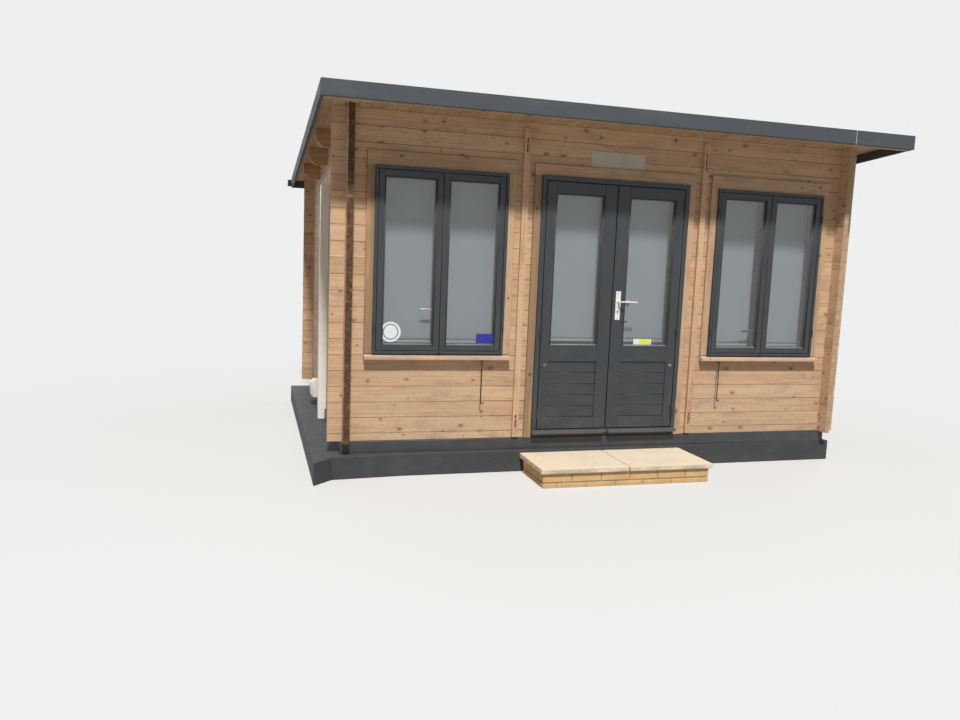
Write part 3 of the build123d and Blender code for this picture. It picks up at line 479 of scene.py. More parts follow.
def feltFinish():
    # mineral chips, each sheet a little different, with rain streaks down the fall
    made, tree, shader = newMaterial("roofFelt", Specular_IOR_Level=0.2, Roughness=0.92)
    place = objectPlace(tree)
    colours = dict(zip(("Color", "Second", "Third"), felt["colours"]))
    chips = useGroup(tree, speckle, {"Place": place, "Size": felt["grit"], **colours})
    rain = pattern(tree, place, (5.0, 0.7, 1.0), 5.0, 0.65)
    colour = blend(tree, remap(tree, rain, 0.46, 0.72, 0.0, 0.5), chips["Color"], felt["rain"])
    colour = blend(tree, times(tree, attribute(tree, "tone"), 0.45), colour, felt["sheet"])
    setShader(tree, shader, Base_Color=colour, Normal=bump(tree, chips["Height"], 0.5, 0.001))
    return made


# name, pale, dark, knot, share of knots, grime from low to high and how much, stains, roughness
woods = {
    "logs": ("logWood", (0.70, 0.492, 0.322), (0.475, 0.29, 0.168), (0.20, 0.105, 0.058), 0.34, 0.25, 0.75, 0.2),
    "trim": ("trimWood", (0.62, 0.43, 0.28), (0.41, 0.25, 0.14), (0.13, 0.065, 0.035), 0.2, 0.25, 0.8, 0.35, 0.55),
    "trimDarkerLeg": (
        "trimDarkerLeg", (0.385, 0.258, 0.158), (0.25, 0.15, 0.08), (0.09, 0.045, 0.025), 0.2, 0.25, 0.8, 0.3, 0.5
    ),
    "sill": ("sillWood", (0.62, 0.455, 0.335), (0.44, 0.29, 0.195), (0.16, 0.08, 0.045), 0.12, 0.3, 0.9, 0.2, 0.3),
    "brace": ("braceWood", (0.70, 0.48, 0.31), (0.50, 0.29, 0.155), (0.15, 0.07, 0.038), 0.16, 0.25, 0.7, 0.3, 0.5),
    "roof": ("roofWood", (0.58, 0.40, 0.245), (0.40, 0.235, 0.12), (0.13, 0.065, 0.03), 0.28, 0.0, 0.1, 0.3),
    "purlin": ("purlinWood", (0.56, 0.345, 0.19), (0.38, 0.20, 0.095), (0.13, 0.06, 0.03), 0.24, 0.0, 0.1, 0.3),
    "floor": ("floorWood", (0.62, 0.46, 0.29), (0.45, 0.29, 0.15), (0.15, 0.08, 0.04), 0.3, 0.0, 0.1, 0.3, 0.45, 0.5),
}
# name, pale, dark, fleck, how much of it
woodEnds = {
    "logEndsDark": ("logEndsStained", (0.19, 0.105, 0.062), (0.058, 0.032, 0.021), (0.38, 0.24, 0.15), 0.8),
    "logEndsPale": ("logEndsPale", (0.60, 0.45, 0.31), (0.42, 0.28, 0.17), (0.20, 0.13, 0.085), 0.5),
}
# name, colour, worn colour, wear, grime from low to high and how much, gloss, matt
paints = {
    "joinery": ("joineryPaint", (0.040, 0.046, 0.053), (0.074, 0.082, 0.090), 0.35, 0.2, 0.6, 0.22),
    "fascia": ("fasciaPaint", (0.078, 0.088, 0.102), (0.125, 0.134, 0.146), 0.5, 0.0, 0.1, 0.3, 0.12, 0.25),
    # painted highlight: the door sill's bar is a lighter copy of the joinery paint, standing in for the light its top
    # catches
    "sillBar": ("sillBarHighlightPaint", (0.085, 0.092, 0.102), (0.135, 0.143, 0.152), 0.4, 0.2, 0.4, 0.15),
    # painted highlight, partly dust: the bottom beads' ledges are a light grey, standing in for the light they catch
    # and the dust on them
    "beadLedgeDustAndGlint": ("beadLedgeDustAndGlintPaint", (0.26, 0.275, 0.29), (0.36, 0.37, 0.38), 0.5, 0.2, 0.4, 0.1),
    "bearer": ("bearerPaint", (0.050, 0.055, 0.062), (0.088, 0.094, 0.100), 0.3, 0.12, 0.34, 0.14),
}
# name, three colours, grit, roughness, depth, grime from low to high and how much
stones = {
    "slab": (
        "slabPaint", (0.052, 0.058, 0.065), (0.063, 0.069, 0.076), (0.085, 0.091, 0.097),
        0.012, 0.72, 0.0012, 0.0, 0.16, 0.2,
    ),
    "brick": (
        "buffBrick", (0.78, 0.51, 0.24), (0.66, 0.41, 0.18), (0.84, 0.61, 0.36),
        0.006, 0.9, 0.0015, 0.0, 0.12, 0.3,
    ),
    "mortar": (
        "mortar", (0.50, 0.39, 0.26), (0.42, 0.33, 0.22), (0.56, 0.45, 0.32),
        0.003, 0.95, 0.001, 0.0, 0.12, 0.35,
    ),
    "paving": (
        "creamPaving", (0.87, 0.75, 0.585), (0.81, 0.685, 0.52), (0.75, 0.62, 0.46),
        0.009, 0.85, 0.001, 0.122, 0.146, 0.5,
    ),
    "signFace": (
        "signFace", (0.62, 0.60, 0.52), (0.54, 0.51, 0.43), (0.50, 0.46, 0.38),
        0.004, 0.7, 0.0004, 0.0, 0.1, 0.2,
    ),
}
# name, two colours, roughness, grime, metallic
plastics = {
    "blackPlastic": ("blackPlastic", (0.018, 0.018, 0.019), (0.032, 0.032, 0.033), 0.38, 0.3),
    "whitePlastic": ("whitePlastic", (0.80, 0.785, 0.73), (0.75, 0.73, 0.67), 0.38, 0.12),
    "whiteCover": ("whiteCover", (0.90, 0.89, 0.85), (0.85, 0.835, 0.78), 0.38, 0.08),
    "whiteMetal": ("whiteMetal", (0.84, 0.84, 0.82), (0.78, 0.78, 0.76), 0.28, 0.1),
    "blackMetal": ("blackMetal", (0.022, 0.021, 0.020), (0.050, 0.038, 0.030), 0.42, 0.3),
    "hookIron": ("hookIron", (0.026, 0.018, 0.014), (0.070, 0.042, 0.020), 0.78, 0.04),
    "boltSteel": ("boltSteel", (0.36, 0.33, 0.30), (0.20, 0.165, 0.14), 0.45, 0.2, 0.3),
    "eyeSteel": ("eyeSteel", (0.46, 0.47, 0.48), (0.30, 0.30, 0.31), 0.35, 0.1, 0.5),
    "handleSteel": ("handleSteel", (0.46, 0.47, 0.48), (0.36, 0.37, 0.38), 0.32, 0.0, 0.6),
    "spacer": ("glazingSpacer", (0.15, 0.115, 0.08), (0.11, 0.085, 0.06), 0.5, 0.0),
    "rubber": ("rubberSeal", (0.015, 0.015, 0.015), (0.022, 0.022, 0.022), 0.6, 0.0),
    "whiteLabel": ("whiteLabel", (0.80, 0.82, 0.83), (0.75, 0.77, 0.78), 0.3, 0.0),
    "greyLabel": ("greyLabel", (0.20, 0.27, 0.31), (0.23, 0.30, 0.34), 0.3, 0.0),
    "blueLabel": ("blueLabel", (0.022, 0.028, 0.30), (0.027, 0.035, 0.33), 0.35, 0.0),
    "yellowLabel": ("yellowLabel", (0.78, 0.80, 0.05), (0.72, 0.74, 0.06), 0.3, 0.0),
    "blindRail": ("blindRail", (0.36, 0.385, 0.41), (0.33, 0.355, 0.38), 0.5, 0.0),
}
finishes = {"felt": feltFinish(), "glass": glassFinish(), "cloth": clothFinish()}
for make, rows in (
    (woodFinish, woods), (endFinish, woodEnds), (paintFinish, paints),
    (stoneFinish, stones), (plasticFinish, plastics),
):
    for key, values in rows.items():
        finishes[key] = make(*values)
print("finishes made:", len(finishes))


def addCube(mesh, low, high):
    low, high = Vector(low), Vector(high)
    place = Matrix.Translation((low + high) / 2) @ Matrix.Diagonal((*(high - low), 1))
    return bmesh.ops.create_cube(mesh, size=1, matrix=place)["verts"]


def newStack():
    mesh = bmesh.new()
    mesh.verts.layers.int.new("board")
    return {"mesh": mesh, "boards": []}


def addBoard(stack, low, high, run="xz", heart=None, tone=None, kind=0):
    # run names the grain's way and the way across the board's face, kind its material
    low, high = Vector(low), Vector(high)
    middle = (low + high) / 2
    layer = stack["mesh"].verts.layers.int["board"]
    for vert in addCube(stack["mesh"], low, high):
        vert[layer] = len(stack["boards"])
    stack["boards"].append({
        "run": run, "heart": heart or middle, "tone": dice.random() if tone is None else tone,
        "middle": middle, "half": (high - low) / 2, "kind": kind,
    })


def writeGrain(mesh, boards, seamWidth=0.0):
    # place along the grain, tone of the board, and how near its seams a point lies
    layers = mesh.verts.layers
    for values, name in ((layers.float_vector, "grain"), (layers.float, "tone"), (layers.float, "seam")):
        values.new(name)
    index, grain = layers.int["board"], layers.float_vector["grain"]
    tone, seam = layers.float["tone"], layers.float["seam"]
    for vert in mesh.verts:
        board = boards[vert[index]]
        along, across = board["run"]
        through = "xyz".replace(along, "").replace(across, "")
        offset = vert.co - board["heart"]
        vert[grain] = (vert.co.dot(axes[along]), offset.dot(axes[across]), offset.dot(axes[through]))
        vert[tone] = board["tone"]
        if seamWidth:
            off = abs(vert.co.dot(axes[across]) - board["middle"].dot(axes[across]))
            near = (off - board["half"].dot(axes[across])) / seamWidth + 1
            vert[seam] = min(max(near, 0.0), 1.0)


def newObject(name, mesh):
    data = bpy.data.meshes.new(name)
    mesh.to_mesh(data)
    mesh.free()
    made = bpy.data.objects.new(name, data)
    bpy.context.scene.collection.objects.link(made)
    return made


def placeObject(name, mesh, body, finish, hides=()):
    piece = newObject(name, mesh)
    for key in [finish] if isinstance(finish, str) else finish:
        piece.data.materials.append(finishes[key])
    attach(piece, body)
    if hides:
        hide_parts(*hides)
    return piece


def roundEdges(mesh, edges, width, steps):
    # only the rounded strips shade smoothly, so that broad faces stay flat
    made = bmesh.ops.bevel(
        mesh, geom=edges, offset=width, offset_type="OFFSET", segments=steps, profile=0.5,
        affect="EDGES", clamp_overlap=True, material=-1,
    )
    for face in made["faces"]:
        face.smooth = steps > 1


def smoothSlopes(mesh, angle=40):
    for face in mesh.faces:
        face.smooth = True
    for edge in mesh.edges:
        edge.smooth = len(edge.link_faces) == 2 and edge.calc_face_angle(0) < math.radians(angle)


def edgesOf(verts):
    # each edge once, in the same order on each run
    return list(dict.fromkeys(edge for vert in verts for edge in vert.link_edges))


def cutByRoof(mesh):
    cut = bmesh.ops.bisect_plane(
        mesh, geom=mesh.verts[:] + mesh.edges[:] + mesh.faces[:], dist=1e-6,
        plane_co=(0, frontFace, frontTop), plane_no=(0, roofFall, 1), clear_outer=True,
    )
    loose = [edge for edge in cut["geom_cut"] if isinstance(edge, bmesh.types.BMEdge)]
    bmesh.ops.holes_fill(mesh, edges=loose)


def finishBoards(
    stack, name, body, finish, hides=(), arris=0.002, steps=2,
    ends=False, shear=None, seams=False, underRoof=False,
):
    mesh, boards = stack["mesh"], stack["boards"]
    layer = mesh.verts.layers.int["board"]
    chosen = []
    for edge in mesh.edges:
        along = axes[boards[edge.verts[0][layer]]["run"][0]]
        if ends or abs((edge.verts[0].co - edge.verts[1].co).normalized().dot(along)) > 0.9:
            chosen.append(edge)
    roundEdges(mesh, chosen, arris, steps)
    writeGrain(mesh, boards, arris if seams else 0.0)
    if underRoof:
        cutByRoof(mesh)
    if not isinstance(finish, str):
        layer = mesh.verts.layers.int["board"]
        for face in mesh.faces:
            board = boards[face.verts[0][layer]]
            cutEnd = "Ends" in finish[1] and abs(face.normal.dot(axes[board["run"][0]])) > 0.9
            face.material_index = 1 if cutEnd else board["kind"]
    if shear:
        bmesh.ops.transform(mesh, matrix=shear, verts=mesh.verts)
    placeObject(name, mesh, body, finish, hides)


def linkedVerts(mesh):
    # in the mesh's own order, so that each run deals the same tones
    left = set(mesh.verts)
    for start in mesh.verts:
        if start not in left:
            continue
        left.remove(start)
        found = [start]
        queue = [start]
        while queue:
            for edge in queue.pop().link_edges:
                for vert in edge.verts:
                    if vert in left:
                        left.remove(vert)
                        found.append(vert)
                        queue.append(vert)
        yield found


def softCopy(node, name, body, finish, run="xz", arris=0.002, steps=2, flat=1.0, smooth=False):
    # a merged copy of the CAD piece with its edges rounded
    mesh = bmesh.new()
    mesh.from_mesh(nodes[node].data)
    bmesh.ops.remove_doubles(mesh, verts=mesh.verts, dist=0.00001)
    bmesh.ops.dissolve_limit(mesh, angle_limit=math.radians(flat), verts=mesh.verts, edges=mesh.edges)
    if arris:
        sharp = math.radians(25)
        corners = [edge for edge in mesh.edges if len(edge.link_faces) == 2 and edge.calc_face_angle(0) > sharp]
        roundEdges(mesh, corners, arris, steps)
    if smooth:
        smoothSlopes(mesh)
    index = mesh.verts.layers.int.new("board")
    boards = []
    for found in linkedVerts(mesh):
        low = Vector(min(vert.co[axis] for vert in found) for axis in range(3))
        high = Vector(max(vert.co[axis] for vert in found) for axis in range(3))
        for vert in found:
            vert[index] = len(boards)
        boards.append({"run": run, "heart": (low + high) / 2, "tone": dice.random()})
    writeGrain(mesh, boards)
    if not isinstance(finish, str):
        for face in mesh.faces:
            face.material_index = 1 if abs(face.normal.dot(axes[run[0]])) > 0.9 else 0
    return placeObject(name, mesh, body, finish, [node])


def addRod(mesh, start, end, radius, segments=16, endRadius=None):
    start, end = Vector(start), Vector(end)
    place = Matrix.Translation((start + end) / 2) @ (end - start).to_track_quat("Z", "Y").to_matrix().to_4x4()
    return bmesh.ops.create_cone(
        mesh, cap_ends=True, segments=segments, depth=(end - start).length, matrix=place,
        radius1=radius, radius2=radius if endRadius is None else endRadius,
    )["verts"]


def addBlock(mesh, low, high, arris=0.0):
    made = addCube(mesh, low, high)
    if arris:
        roundEdges(mesh, edgesOf(made), arris, 2)


def addLoft(mesh, stations, segments=20):
    # rings at (middle, way, width, height), joined one to the next and closed at both ends
    loops = []
    for middle, way, width, height in stations:
        turned = Vector(way).to_track_quat("Z", "Y").to_matrix().to_4x4()
        place = Matrix.Translation(middle) @ turned @ Matrix.Diagonal((width / 2, height / 2, 1, 1))
        ring = bmesh.ops.create_circle(mesh, cap_ends=False, segments=segments, radius=1, matrix=place)["verts"]
        loops.append(edgesOf(ring))
    for first, second in zip(loops, loops[1:]):
        bmesh.ops.bridge_loops(mesh, edges=first + second)
    for loop in (loops[0], loops[-1]):
        bmesh.ops.holes_fill(mesh, edges=loop)
    bmesh.ops.recalc_face_normals(mesh, faces=mesh.faces)


def ring(low, high, size):
    # two stiles, then the lower and the upper rail between them, as corners in x and z
    left, far = low[0] + size, high[0] - size
    yield low, (left, high[1])
    yield (far, low[1]), high
    yield (left, low[1]), (far, low[1] + size)
    yield (left, high[1] - size), (far, high[1])


def ringBoards(stack, low, high, size, front, back, setBack=0.0, bottom=True, ledge=0):
    for part, (first, last) in enumerate(ring(low, high, size)):
        if bottom or part != 2:
            start = (first[0], front + setBack * (part > 1), first[1])
            kind = ledge if part == 2 else 0
            addBoard(stack, start, (last[0], back, last[1]), "xz" if part > 1 else "zx", kind=kind)


logs = {
    "height": 0.114, "arris": 0.0032, "steps": 2, "stray": 0.0005, "endStray": 0.0012, "endReach": 0.103,
    "fit": 0.003, "leastCourse": 0.010, "sliver": 0.002, "touch": 0.001, "threshold": 0.035, "underDoor": 0.1,
    "nextTone": 0.37,
}
windows = {
    "middles": (-1.348, 1.348), "half": 0.486, "trimHalf": 0.544, "face": 0.022, "stop": 0.012, "gap": 0.003,
    "outerStile": 0.042, "innerStile": 0.0445, "topRail": 0.045, "bottomRail": 0.040, "bead": 0.009,
    "sashBack": 0.044,
}


def courses(bottom, firstJoint, top):
    edges = [bottom]
    joint = firstJoint
    while joint < top - logs["leastCourse"]:
        if joint > bottom + logs["leastCourse"]:
            edges.append(joint)
        joint += logs["height"]
    edges.append(top)
    return list(zip(edges, edges[1:]))


def stackLogs(stack, spanLow, spanHigh, faceLow, faceHigh, heights, run, openings=()):
    for low, high in heights:
        tone = dice.random()
        stray = dice.uniform(-logs["stray"], logs["stray"])
        heart = (low + high) / 2
        if high - low < logs["height"] - 0.005:
            # a half log keeps the heart of the whole one that it was sawn from
            heart = high - logs["height"] / 2 if low == heights[0][0] else low + logs["height"] / 2
        start = spanLow + dice.uniform(0, logs["endStray"])
        runs = []
        for left, far, bottom, top in sorted(openings):
            if bottom >= high - logs["touch"] or top <= low + logs["touch"]:
                continue
            runs.append((start, left, low, high))
            if bottom > low + logs["sliver"] and bottom > wallBase + logs["underDoor"]:
                runs.append((left, far, low, bottom))
            if top < high - logs["sliver"]:
                runs.append((left, far, top, high))
            start = far
        runs.append((start, spanHigh - dice.uniform(0, logs["endStray"]), low, high))
        for first, last, bottom, top in runs:
            if run[0] == "x":
                corners = (first, faceLow + stray, bottom), (last, faceHigh + stray, top)
                middle = Vector((0, (faceLow + faceHigh) / 2, heart))
            else:
                corners = (faceLow + stray, first, bottom), (faceHigh + stray, last, top)
                middle = Vector(((faceLow + faceHigh) / 2, 0, heart))
            addBoard(stack, *corners, run, middle, (tone + logs["nextTone"] * (first > 0)) % 1)


def raiseWall(name, ends, hides, *wall):
    stack = newStack()
    stackLogs(stack, *wall)
    finishBoards(
        stack, name, "pod", ["logs", ends], hides, logs["arris"], logs["steps"],
        seams=True, underRoof=True,
    )


fit = logs["fit"]
openings = [
    (middle - windows["half"] - fit, middle + windows["half"] + fit, frameLow.z, frameHigh.z + fit)
    for middle in windows["middles"]
]
doorOpening = (doorwayLow.x - fit, doorwayHigh.x + fit, wallBase + logs["threshold"], doorwayHigh.z + fit)
logReach = sideOuter - logs["endReach"]
halfLog = wallBase + logs["height"] / 2
raiseWall(
    "frontLogs", "logEndsPale", ["front_wall_left", "front_wall_right", "front_wall_at_doorway"],
    logReach, -logReach, frontFace, innerFace, courses(wallBase, halfLog, frontTop), "xz",
    openings + [doorOpening],
)
raiseWall(
    "rearLogs", "logEndsPale", ["rear_wall"],
    logReach, -logReach, -innerFace, -frontFace, courses(wallBase, halfLog, rearHigh.z + 0.004), "xz",
)
sideCourses = courses(wallBase, wallBase + logs["height"], sideHigh.z + 0.01)
for name, node, ends, faces in (
    ("leftLogs", "left_wall", "logEndsDark", (sideOuter, sideInner)),
    ("rightLogs", "right_wall", "logEndsPale", (-sideInner, -sideOuter)),
):
    raiseWall(name, ends, [node], sideLow.y, sideHigh.y, *faces, sideCourses, "yz")
print("log walls stacked")

roof = {
    "boardWidth": 0.0893, "thickness": 0.019, "sheets": 4, "feltTop": 0.024, "lap": 0.075, "lapUnder": 0.022,
    "lapRise": 0.0018, "lapInset": 0.002, "lapOver": 0.004,
    "fasciaBeyond": 0.020, "fasciaJoint": 0.538, "halfJoint": 0.0012,
}
roofAtMiddle = frontTop + roofFall * frontFace
shear = Matrix(((1, 0, 0, 0), (0, 1, 0, 0), (0, -roofFall, 1, roofAtMiddle), (0, 0, 0, 1)))
stack = newStack()
count = round((roofHigh.x - roofLow.x) / roof["boardWidth"])
width = (roofHigh.x - roofLow.x) / count
for index in range(count):
    left = roofLow.x + index * width
    addBoard(stack, (left, roofLow.y, 0), (left + width, roofHigh.y, roof["thickness"]), "yx")
finishBoards(stack, "roofBoarding", "pod", "roof", ["roof_boards"], 0.003, 2, shear=shear, seams=True)

feltLow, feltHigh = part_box("roof_covering")
stack = newStack()
sheetRun = (feltHigh.y - feltLow.y) / roof["sheets"]
lapLeft, lapFar = feltLow.x + roof["lapInset"], feltHigh.x - roof["lapInset"]
for index in range(roof["sheets"]):
    front = feltLow.y + index * sheetRun
    back = front + sheetRun
    addBoard(stack, (feltLow.x, front, roof["thickness"]), (feltHigh.x, back, roof["feltTop"]), "xy")
    if index < roof["sheets"] - 1:
        low = (lapLeft, back - roof["lap"], roof["lapUnder"])
        addBoard(stack, low, (lapFar, back + roof["lapOver"], roof["feltTop"] + roof["lapRise"]), "xy")
finishBoards(stack, "roofFelt", "pod", "felt", ["roof_covering"], 0.001, 1, shear=shear)

softCopy("purlins", "roofPurlins", "pod", ["purlin", "logEndsPale"], "xz", 0.0025)
softCopy("front_fascia", "frontFascia", "pod", "fascia", "xz", 0.0025)
fasciaLow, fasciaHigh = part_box("front_fascia")
jointX = roofHigh.x + roof["fasciaBeyond"] - roof["fasciaJoint"]
# a pale strip in the joint between the fascia's two boards
mesh = bmesh.new()
addBlock(
    mesh, (jointX - roof["halfJoint"], fasciaLow.y + 0.0006, fasciaLow.z + 0.001),
    (jointX + roof["halfJoint"], fasciaHigh.y - 0.001, fasciaHigh.z - 0.001),
)
placeObject("fasciaPaleJoint", mesh, "pod", "whitePlastic")
softCopy("eaves_batten", "eavesBatten", "pod", "roof", "xz", 0.0015)
softCopy("barge_boards", "bargeBoards", "pod", "fascia", "yz", 0.0025)
softCopy("rear_fascia", "rearFascia", "pod", "fascia", "xz", 0.0015)
print("roof laid")

gutter = {
    "brackets": 6, "bracketWidth": 0.03, "fromEnd": 0.25, "unions": (-0.9, 0.95), "unionWidth": 0.09,
    "wrap": 0.0025, "bite": 0.0005, "lip": 0.014, "turn": 0.93, "steps": 18,
}
softCopy("rear_gutter", "rearGutter", "pod", "blackPlastic", "xy", 0.0008, 1)
gutterLow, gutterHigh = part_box("rear_gutter")
gutterRadius = (gutterHigh.y - gutterLow.y) / 2
gutterMiddle = Vector((0, (gutterLow.y + gutterHigh.y) / 2, gutterLow.z + gutterRadius))
bracketRun = gutterHigh.x - gutterLow.x - 2 * gutter["fromEnd"]
clips = [
    (gutterLow.x + gutter["fromEnd"] + index * bracketRun / (gutter["brackets"] - 1), gutter["bracketWidth"])
    for index in range(gutter["brackets"])
] + [(place, gutter["unionWidth"]) for place in gutter["unions"]]
mesh = bmesh.new()
for place, wide in clips:
    # a strip over the gutter's lip, turned down and round under the trough
    inner, outer = [
        Vector((place - wide / 2, gutterMiddle.y + reach, gutterMiddle.z + gutter["lip"]))
        for reach in (gutterRadius - gutter["bite"], gutterRadius + gutter["wrap"])
    ]
    across = Vector((wide, 0, 0))
    face = mesh.faces.new([mesh.verts.new(point) for point in (inner, outer, outer + across, inner + across)])
    down = bmesh.ops.extrude_face_region(mesh, geom=[face])["geom"]
    lower = [part for part in down if isinstance(part, bmesh.types.BMVert)]
    bmesh.ops.translate(mesh, vec=(0, 0, -gutter["lip"]), verts=lower)
    end = [part for part in down if isinstance(part, bmesh.types.BMFace)]
    angle = -math.pi * gutter["turn"]
    bmesh.ops.spin(
        mesh, geom=end, cent=gutterMiddle, axis=(1, 0, 0), angle=angle, steps=gutter["steps"], use_merge=False
    )
bmesh.ops.remove_doubles(mesh, verts=mesh.verts, dist=0.00001)
bmesh.ops.recalc_face_normals(mesh, faces=mesh.faces)
placeObject("gutterBrackets", mesh, "pod", "blackPlastic")
print("gutter hung")


def trimOpening(stack, low, high, left, far, top, kind):
    # two legs, and over them a head that stands a touch proud
    addBoard(stack, low, (left, high[1], top), "zx", kind=kind)
    addBoard(stack, (far, low[1], low[2]), (high[0], high[1], top), "zx")
    addBoard(stack, (low[0], low[1] - 0.0005, top), high, "xz")


trimFinish = ["trim", "logEndsPale", "trimDarkerLeg"]  # the third is the darker wood of the left window's and the door's left legs
trimLow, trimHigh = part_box("window_trims")
trims, frames, sashes, beads = newStack(), newStack(), newStack(), newStack()
member, half, gap = windows["face"], windows["half"], windows["gap"]
for middle in windows["middles"]:
    left, far = middle - half, middle + half
    low = (middle - windows["trimHalf"], trimLow.y, trimLow.z)
    high = (middle + windows["trimHalf"], trimHigh.y, trimHigh.z)
    trimOpening(trims, low, high, left, far, frameHigh.z, 2 if middle < 0 else 0)
finishBoards(trims, "windowTrims", "pod", trimFinish, ["window_trims"], 0.002, 2, ends=True)
softCopy("window_sills", "windowSills", "pod", "sill", "xy", 0.002)

for middle in windows["middles"]:
    low, high = (middle - half, frameLow.z), (middle + half, frameHigh.z)
    ringBoards(frames, low, high, member, frameLow.y, frameHigh.y, 0.0004)
    low, high = (low[0] + member, low[1] + member), (high[0] - member, high[1] - member)
    ringBoards(frames, low, high, windows["stop"], frameLow.y + windows["sashBack"], frameHigh.y)
finishBoards(frames, "windowFrames", "pod", "joinery", ["window_frames"], 0.0015, 2)

glazing = {
    "pane": 0.004, "unit": 0.016, "recess": 0.012, "spacer": 0.009, "clear": 0.0002,
    "beadFront": 0.007, "beadDeep": 0.0066, "backBead": 0.009, "beadGap": 0.0003,
}


def glazeOpening(low, high, front, paneMesh, spacerMesh):
    # two panes with a spacer between them
    unit, pane, clear = glazing["unit"], glazing["pane"], glazing["clear"]
    for first in (front, front + unit - pane):
        addBlock(paneMesh, (low[0], first, low[1]), (high[0], first + pane, high[1]))
    for first, last in ring(low, high, glazing["spacer"]):
        start = (first[0], front + pane + clear, first[1])
        addBlock(spacerMesh, start, (last[0], front + unit - pane - clear, last[1]))


panes, spacers = bmesh.new(), bmesh.new()
sashBottom, sashTop = frameLow.z + member + gap, frameHigh.z - member - gap
sashWide = (2 * half - 2 * member - 3 * gap) / 2
sashGlass = sashLow.y + glazing["recess"]
for middle in windows["middles"]:
    for side in (-1, 1):
        meeting = middle + side * gap / 2
        outer = meeting + side * sashWide
        innerEdge = meeting + side * windows["innerStile"]
        outerEdge = outer - side * windows["outerStile"]
        for first, last in (sorted((meeting, innerEdge)), sorted((outer, outerEdge))):
            addBoard(sashes, (first, sashLow.y, sashBottom), (last, sashHigh.y, sashTop), "zx")
        left, far = sorted((innerEdge, outerEdge))
        low = (left, sashBottom + windows["bottomRail"])
        high = (far, sashTop - windows["topRail"])
        for first, last in ((sashBottom, low[1]), (high[1], sashTop)):
            addBoard(sashes, (left, sashLow.y + 0.0003, first), (far, sashHigh.y, last), "xz")
        glazeOpening(low, high, sashGlass, panes, spacers)
        beadFront = sashGlass - glazing["beadFront"]
        ringBoards(beads, low, high, windows["bead"], beadFront, beadFront + glazing["beadDeep"], ledge=1)
        beadFront = sashGlass + glazing["unit"] + glazing["beadGap"]
        ringBoards(beads, low, high, windows["bead"], beadFront, beadFront + glazing["backBead"])
finishBoards(sashes, "windowSashes", "pod", "joinery", ["window_sashes"], 0.002, 2)
# the bottom ledges of the beads take the light grey paint: painted highlight, partly dust
finishBoards(beads, "windowBeads", "pod", ["joinery", "beadLedgeDustAndGlint"], (), 0.0035, 3)
placeObject("windowPanes", panes, "pod", "glass", ["window_glass"])
placeObject("windowSpacers", spacers, "pod", "spacer")
print("windows glazed")

blind = {
    "cloth": 0.0009, "wide": 0.410, "apart": 0.074, "tube": 0.014, "fromWall": 0.062, "fromLeaf": 0.068,
    "barHeight": 0.018, "barDepth": 0.007, "hemLift": 0.006, "ripple": 0.0012, "curl": 0.0016,
    "bracket": 0.003, "bracketGap": 0.0005, "columns": 24, "rows": 36,
}


def hangBlind(name, left, wide, sheetY, low, high, mountFace, body, node):
    tube, bracket, clear = blind["tube"], blind["bracket"], blind["bracketGap"]
    top = high - tube
    length = top - low - blind["hemLift"]
    middle = left + wide / 2
    place = Matrix.Translation((middle, sheetY, low + blind["hemLift"] + length / 2))
    place = place @ Matrix.Rotation(math.pi / 2, 4, "X")
    cloth = bmesh.new()
    layer = cloth.loops.layers.uv.new("weave")
    bmesh.ops.create_grid(
        cloth, x_segments=blind["columns"], y_segments=blind["rows"], size=1,
        matrix=place @ Matrix.Diagonal((wide / 2, length / 2, 1, 1)),
    )
    for vert in cloth.verts:
        # faint waves that die out at the tube and the bar, and edges that curl a little
        x, z = vert.co.x, vert.co.z
        share = (z - low) / length
        edge = abs(x - left - wide / 2) / (wide / 2)
        wave = math.sin(x * 9.0 + left * 7) * math.sin(z * 3.1 + left) + 0.6 * math.sin(x * 21.0 + z * 2.0)
        drift = blind["ripple"] * wave * math.sin(min(max(share, 0), 1) * math.pi)
        vert.co.y += drift + blind["curl"] * edge ** 6 * math.sin(share * math.pi)
    for face in cloth.faces:
        face.smooth = True
        for loop in face.loops:
            loop[layer].uv = (loop.vert.co.x, loop.vert.co.z - low)
    piece = placeObject(f"{name}Cloth", cloth, body, "cloth", [node])
    thick = piece.modifiers.new("thickness", "SOLIDIFY")
    thick.thickness = blind["cloth"]
    thick.offset = 0
    gear = bmesh.new()
    addRod(gear, (left, sheetY, top), (left + wide, sheetY, top), tube, 24)
    halfBar = blind["barDepth"] / 2
    barTop = low + blind["barHeight"]
    addBlock(gear, (left, sheetY - halfBar, low), (left + wide, sheetY + halfBar, barTop), 0.002)
    for first in (left - clear, left + wide - bracket + clear):
        start = (first, mountFace + clear, top - tube - bracket)
        addBlock(gear, start, (first + bracket, sheetY + tube + bracket, top + tube), 0.001)
    smoothSlopes(gear)
    for face in gear.faces:
        face.material_index = 1 if face.calc_center_median().z < low + 0.1 else 0
    gearPiece = placeObject(f"{name}Roller", gear, body, ["whitePlastic", "blindRail"])


low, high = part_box("window_blinds")
wide, apart = blind["wide"], blind["apart"]
for middle, side in zip(windows["middles"], ("left", "right")):
    for sash, start in (("Left", middle - apart / 2 - wide), ("Right", middle + apart / 2)):
        hangBlind(
            f"{side}Window{sash}Blind", start, wide, innerFace + blind["fromWall"], low.z, high.z,
            innerFace, "pod", "window_blinds",
        )
for side in ("left", "right"):
    low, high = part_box(f"{side}_door_blind")
    hangBlind(
        f"{side}DoorBlind", low.x, high.x - low.x, leafHigh.y + blind["fromLeaf"], low.z, high.z,
        leafHigh.y, f"{side}_door", f"{side}_door_blind",
    )
print("blinds hung")

doorway = {"jamb": 0.035, "stop": 0.015, "stopFront": 0.049}
low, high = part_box("door_trims")
left, far, top = doorwayLow.x, doorwayHigh.x, doorwayHigh.z
stack = newStack()
trimOpening(stack, low, high, left, far, top, 2)
finishBoards(stack, "doorTrims", "pod", trimFinish, ["door_trims"], 0.002, 2, ends=True)

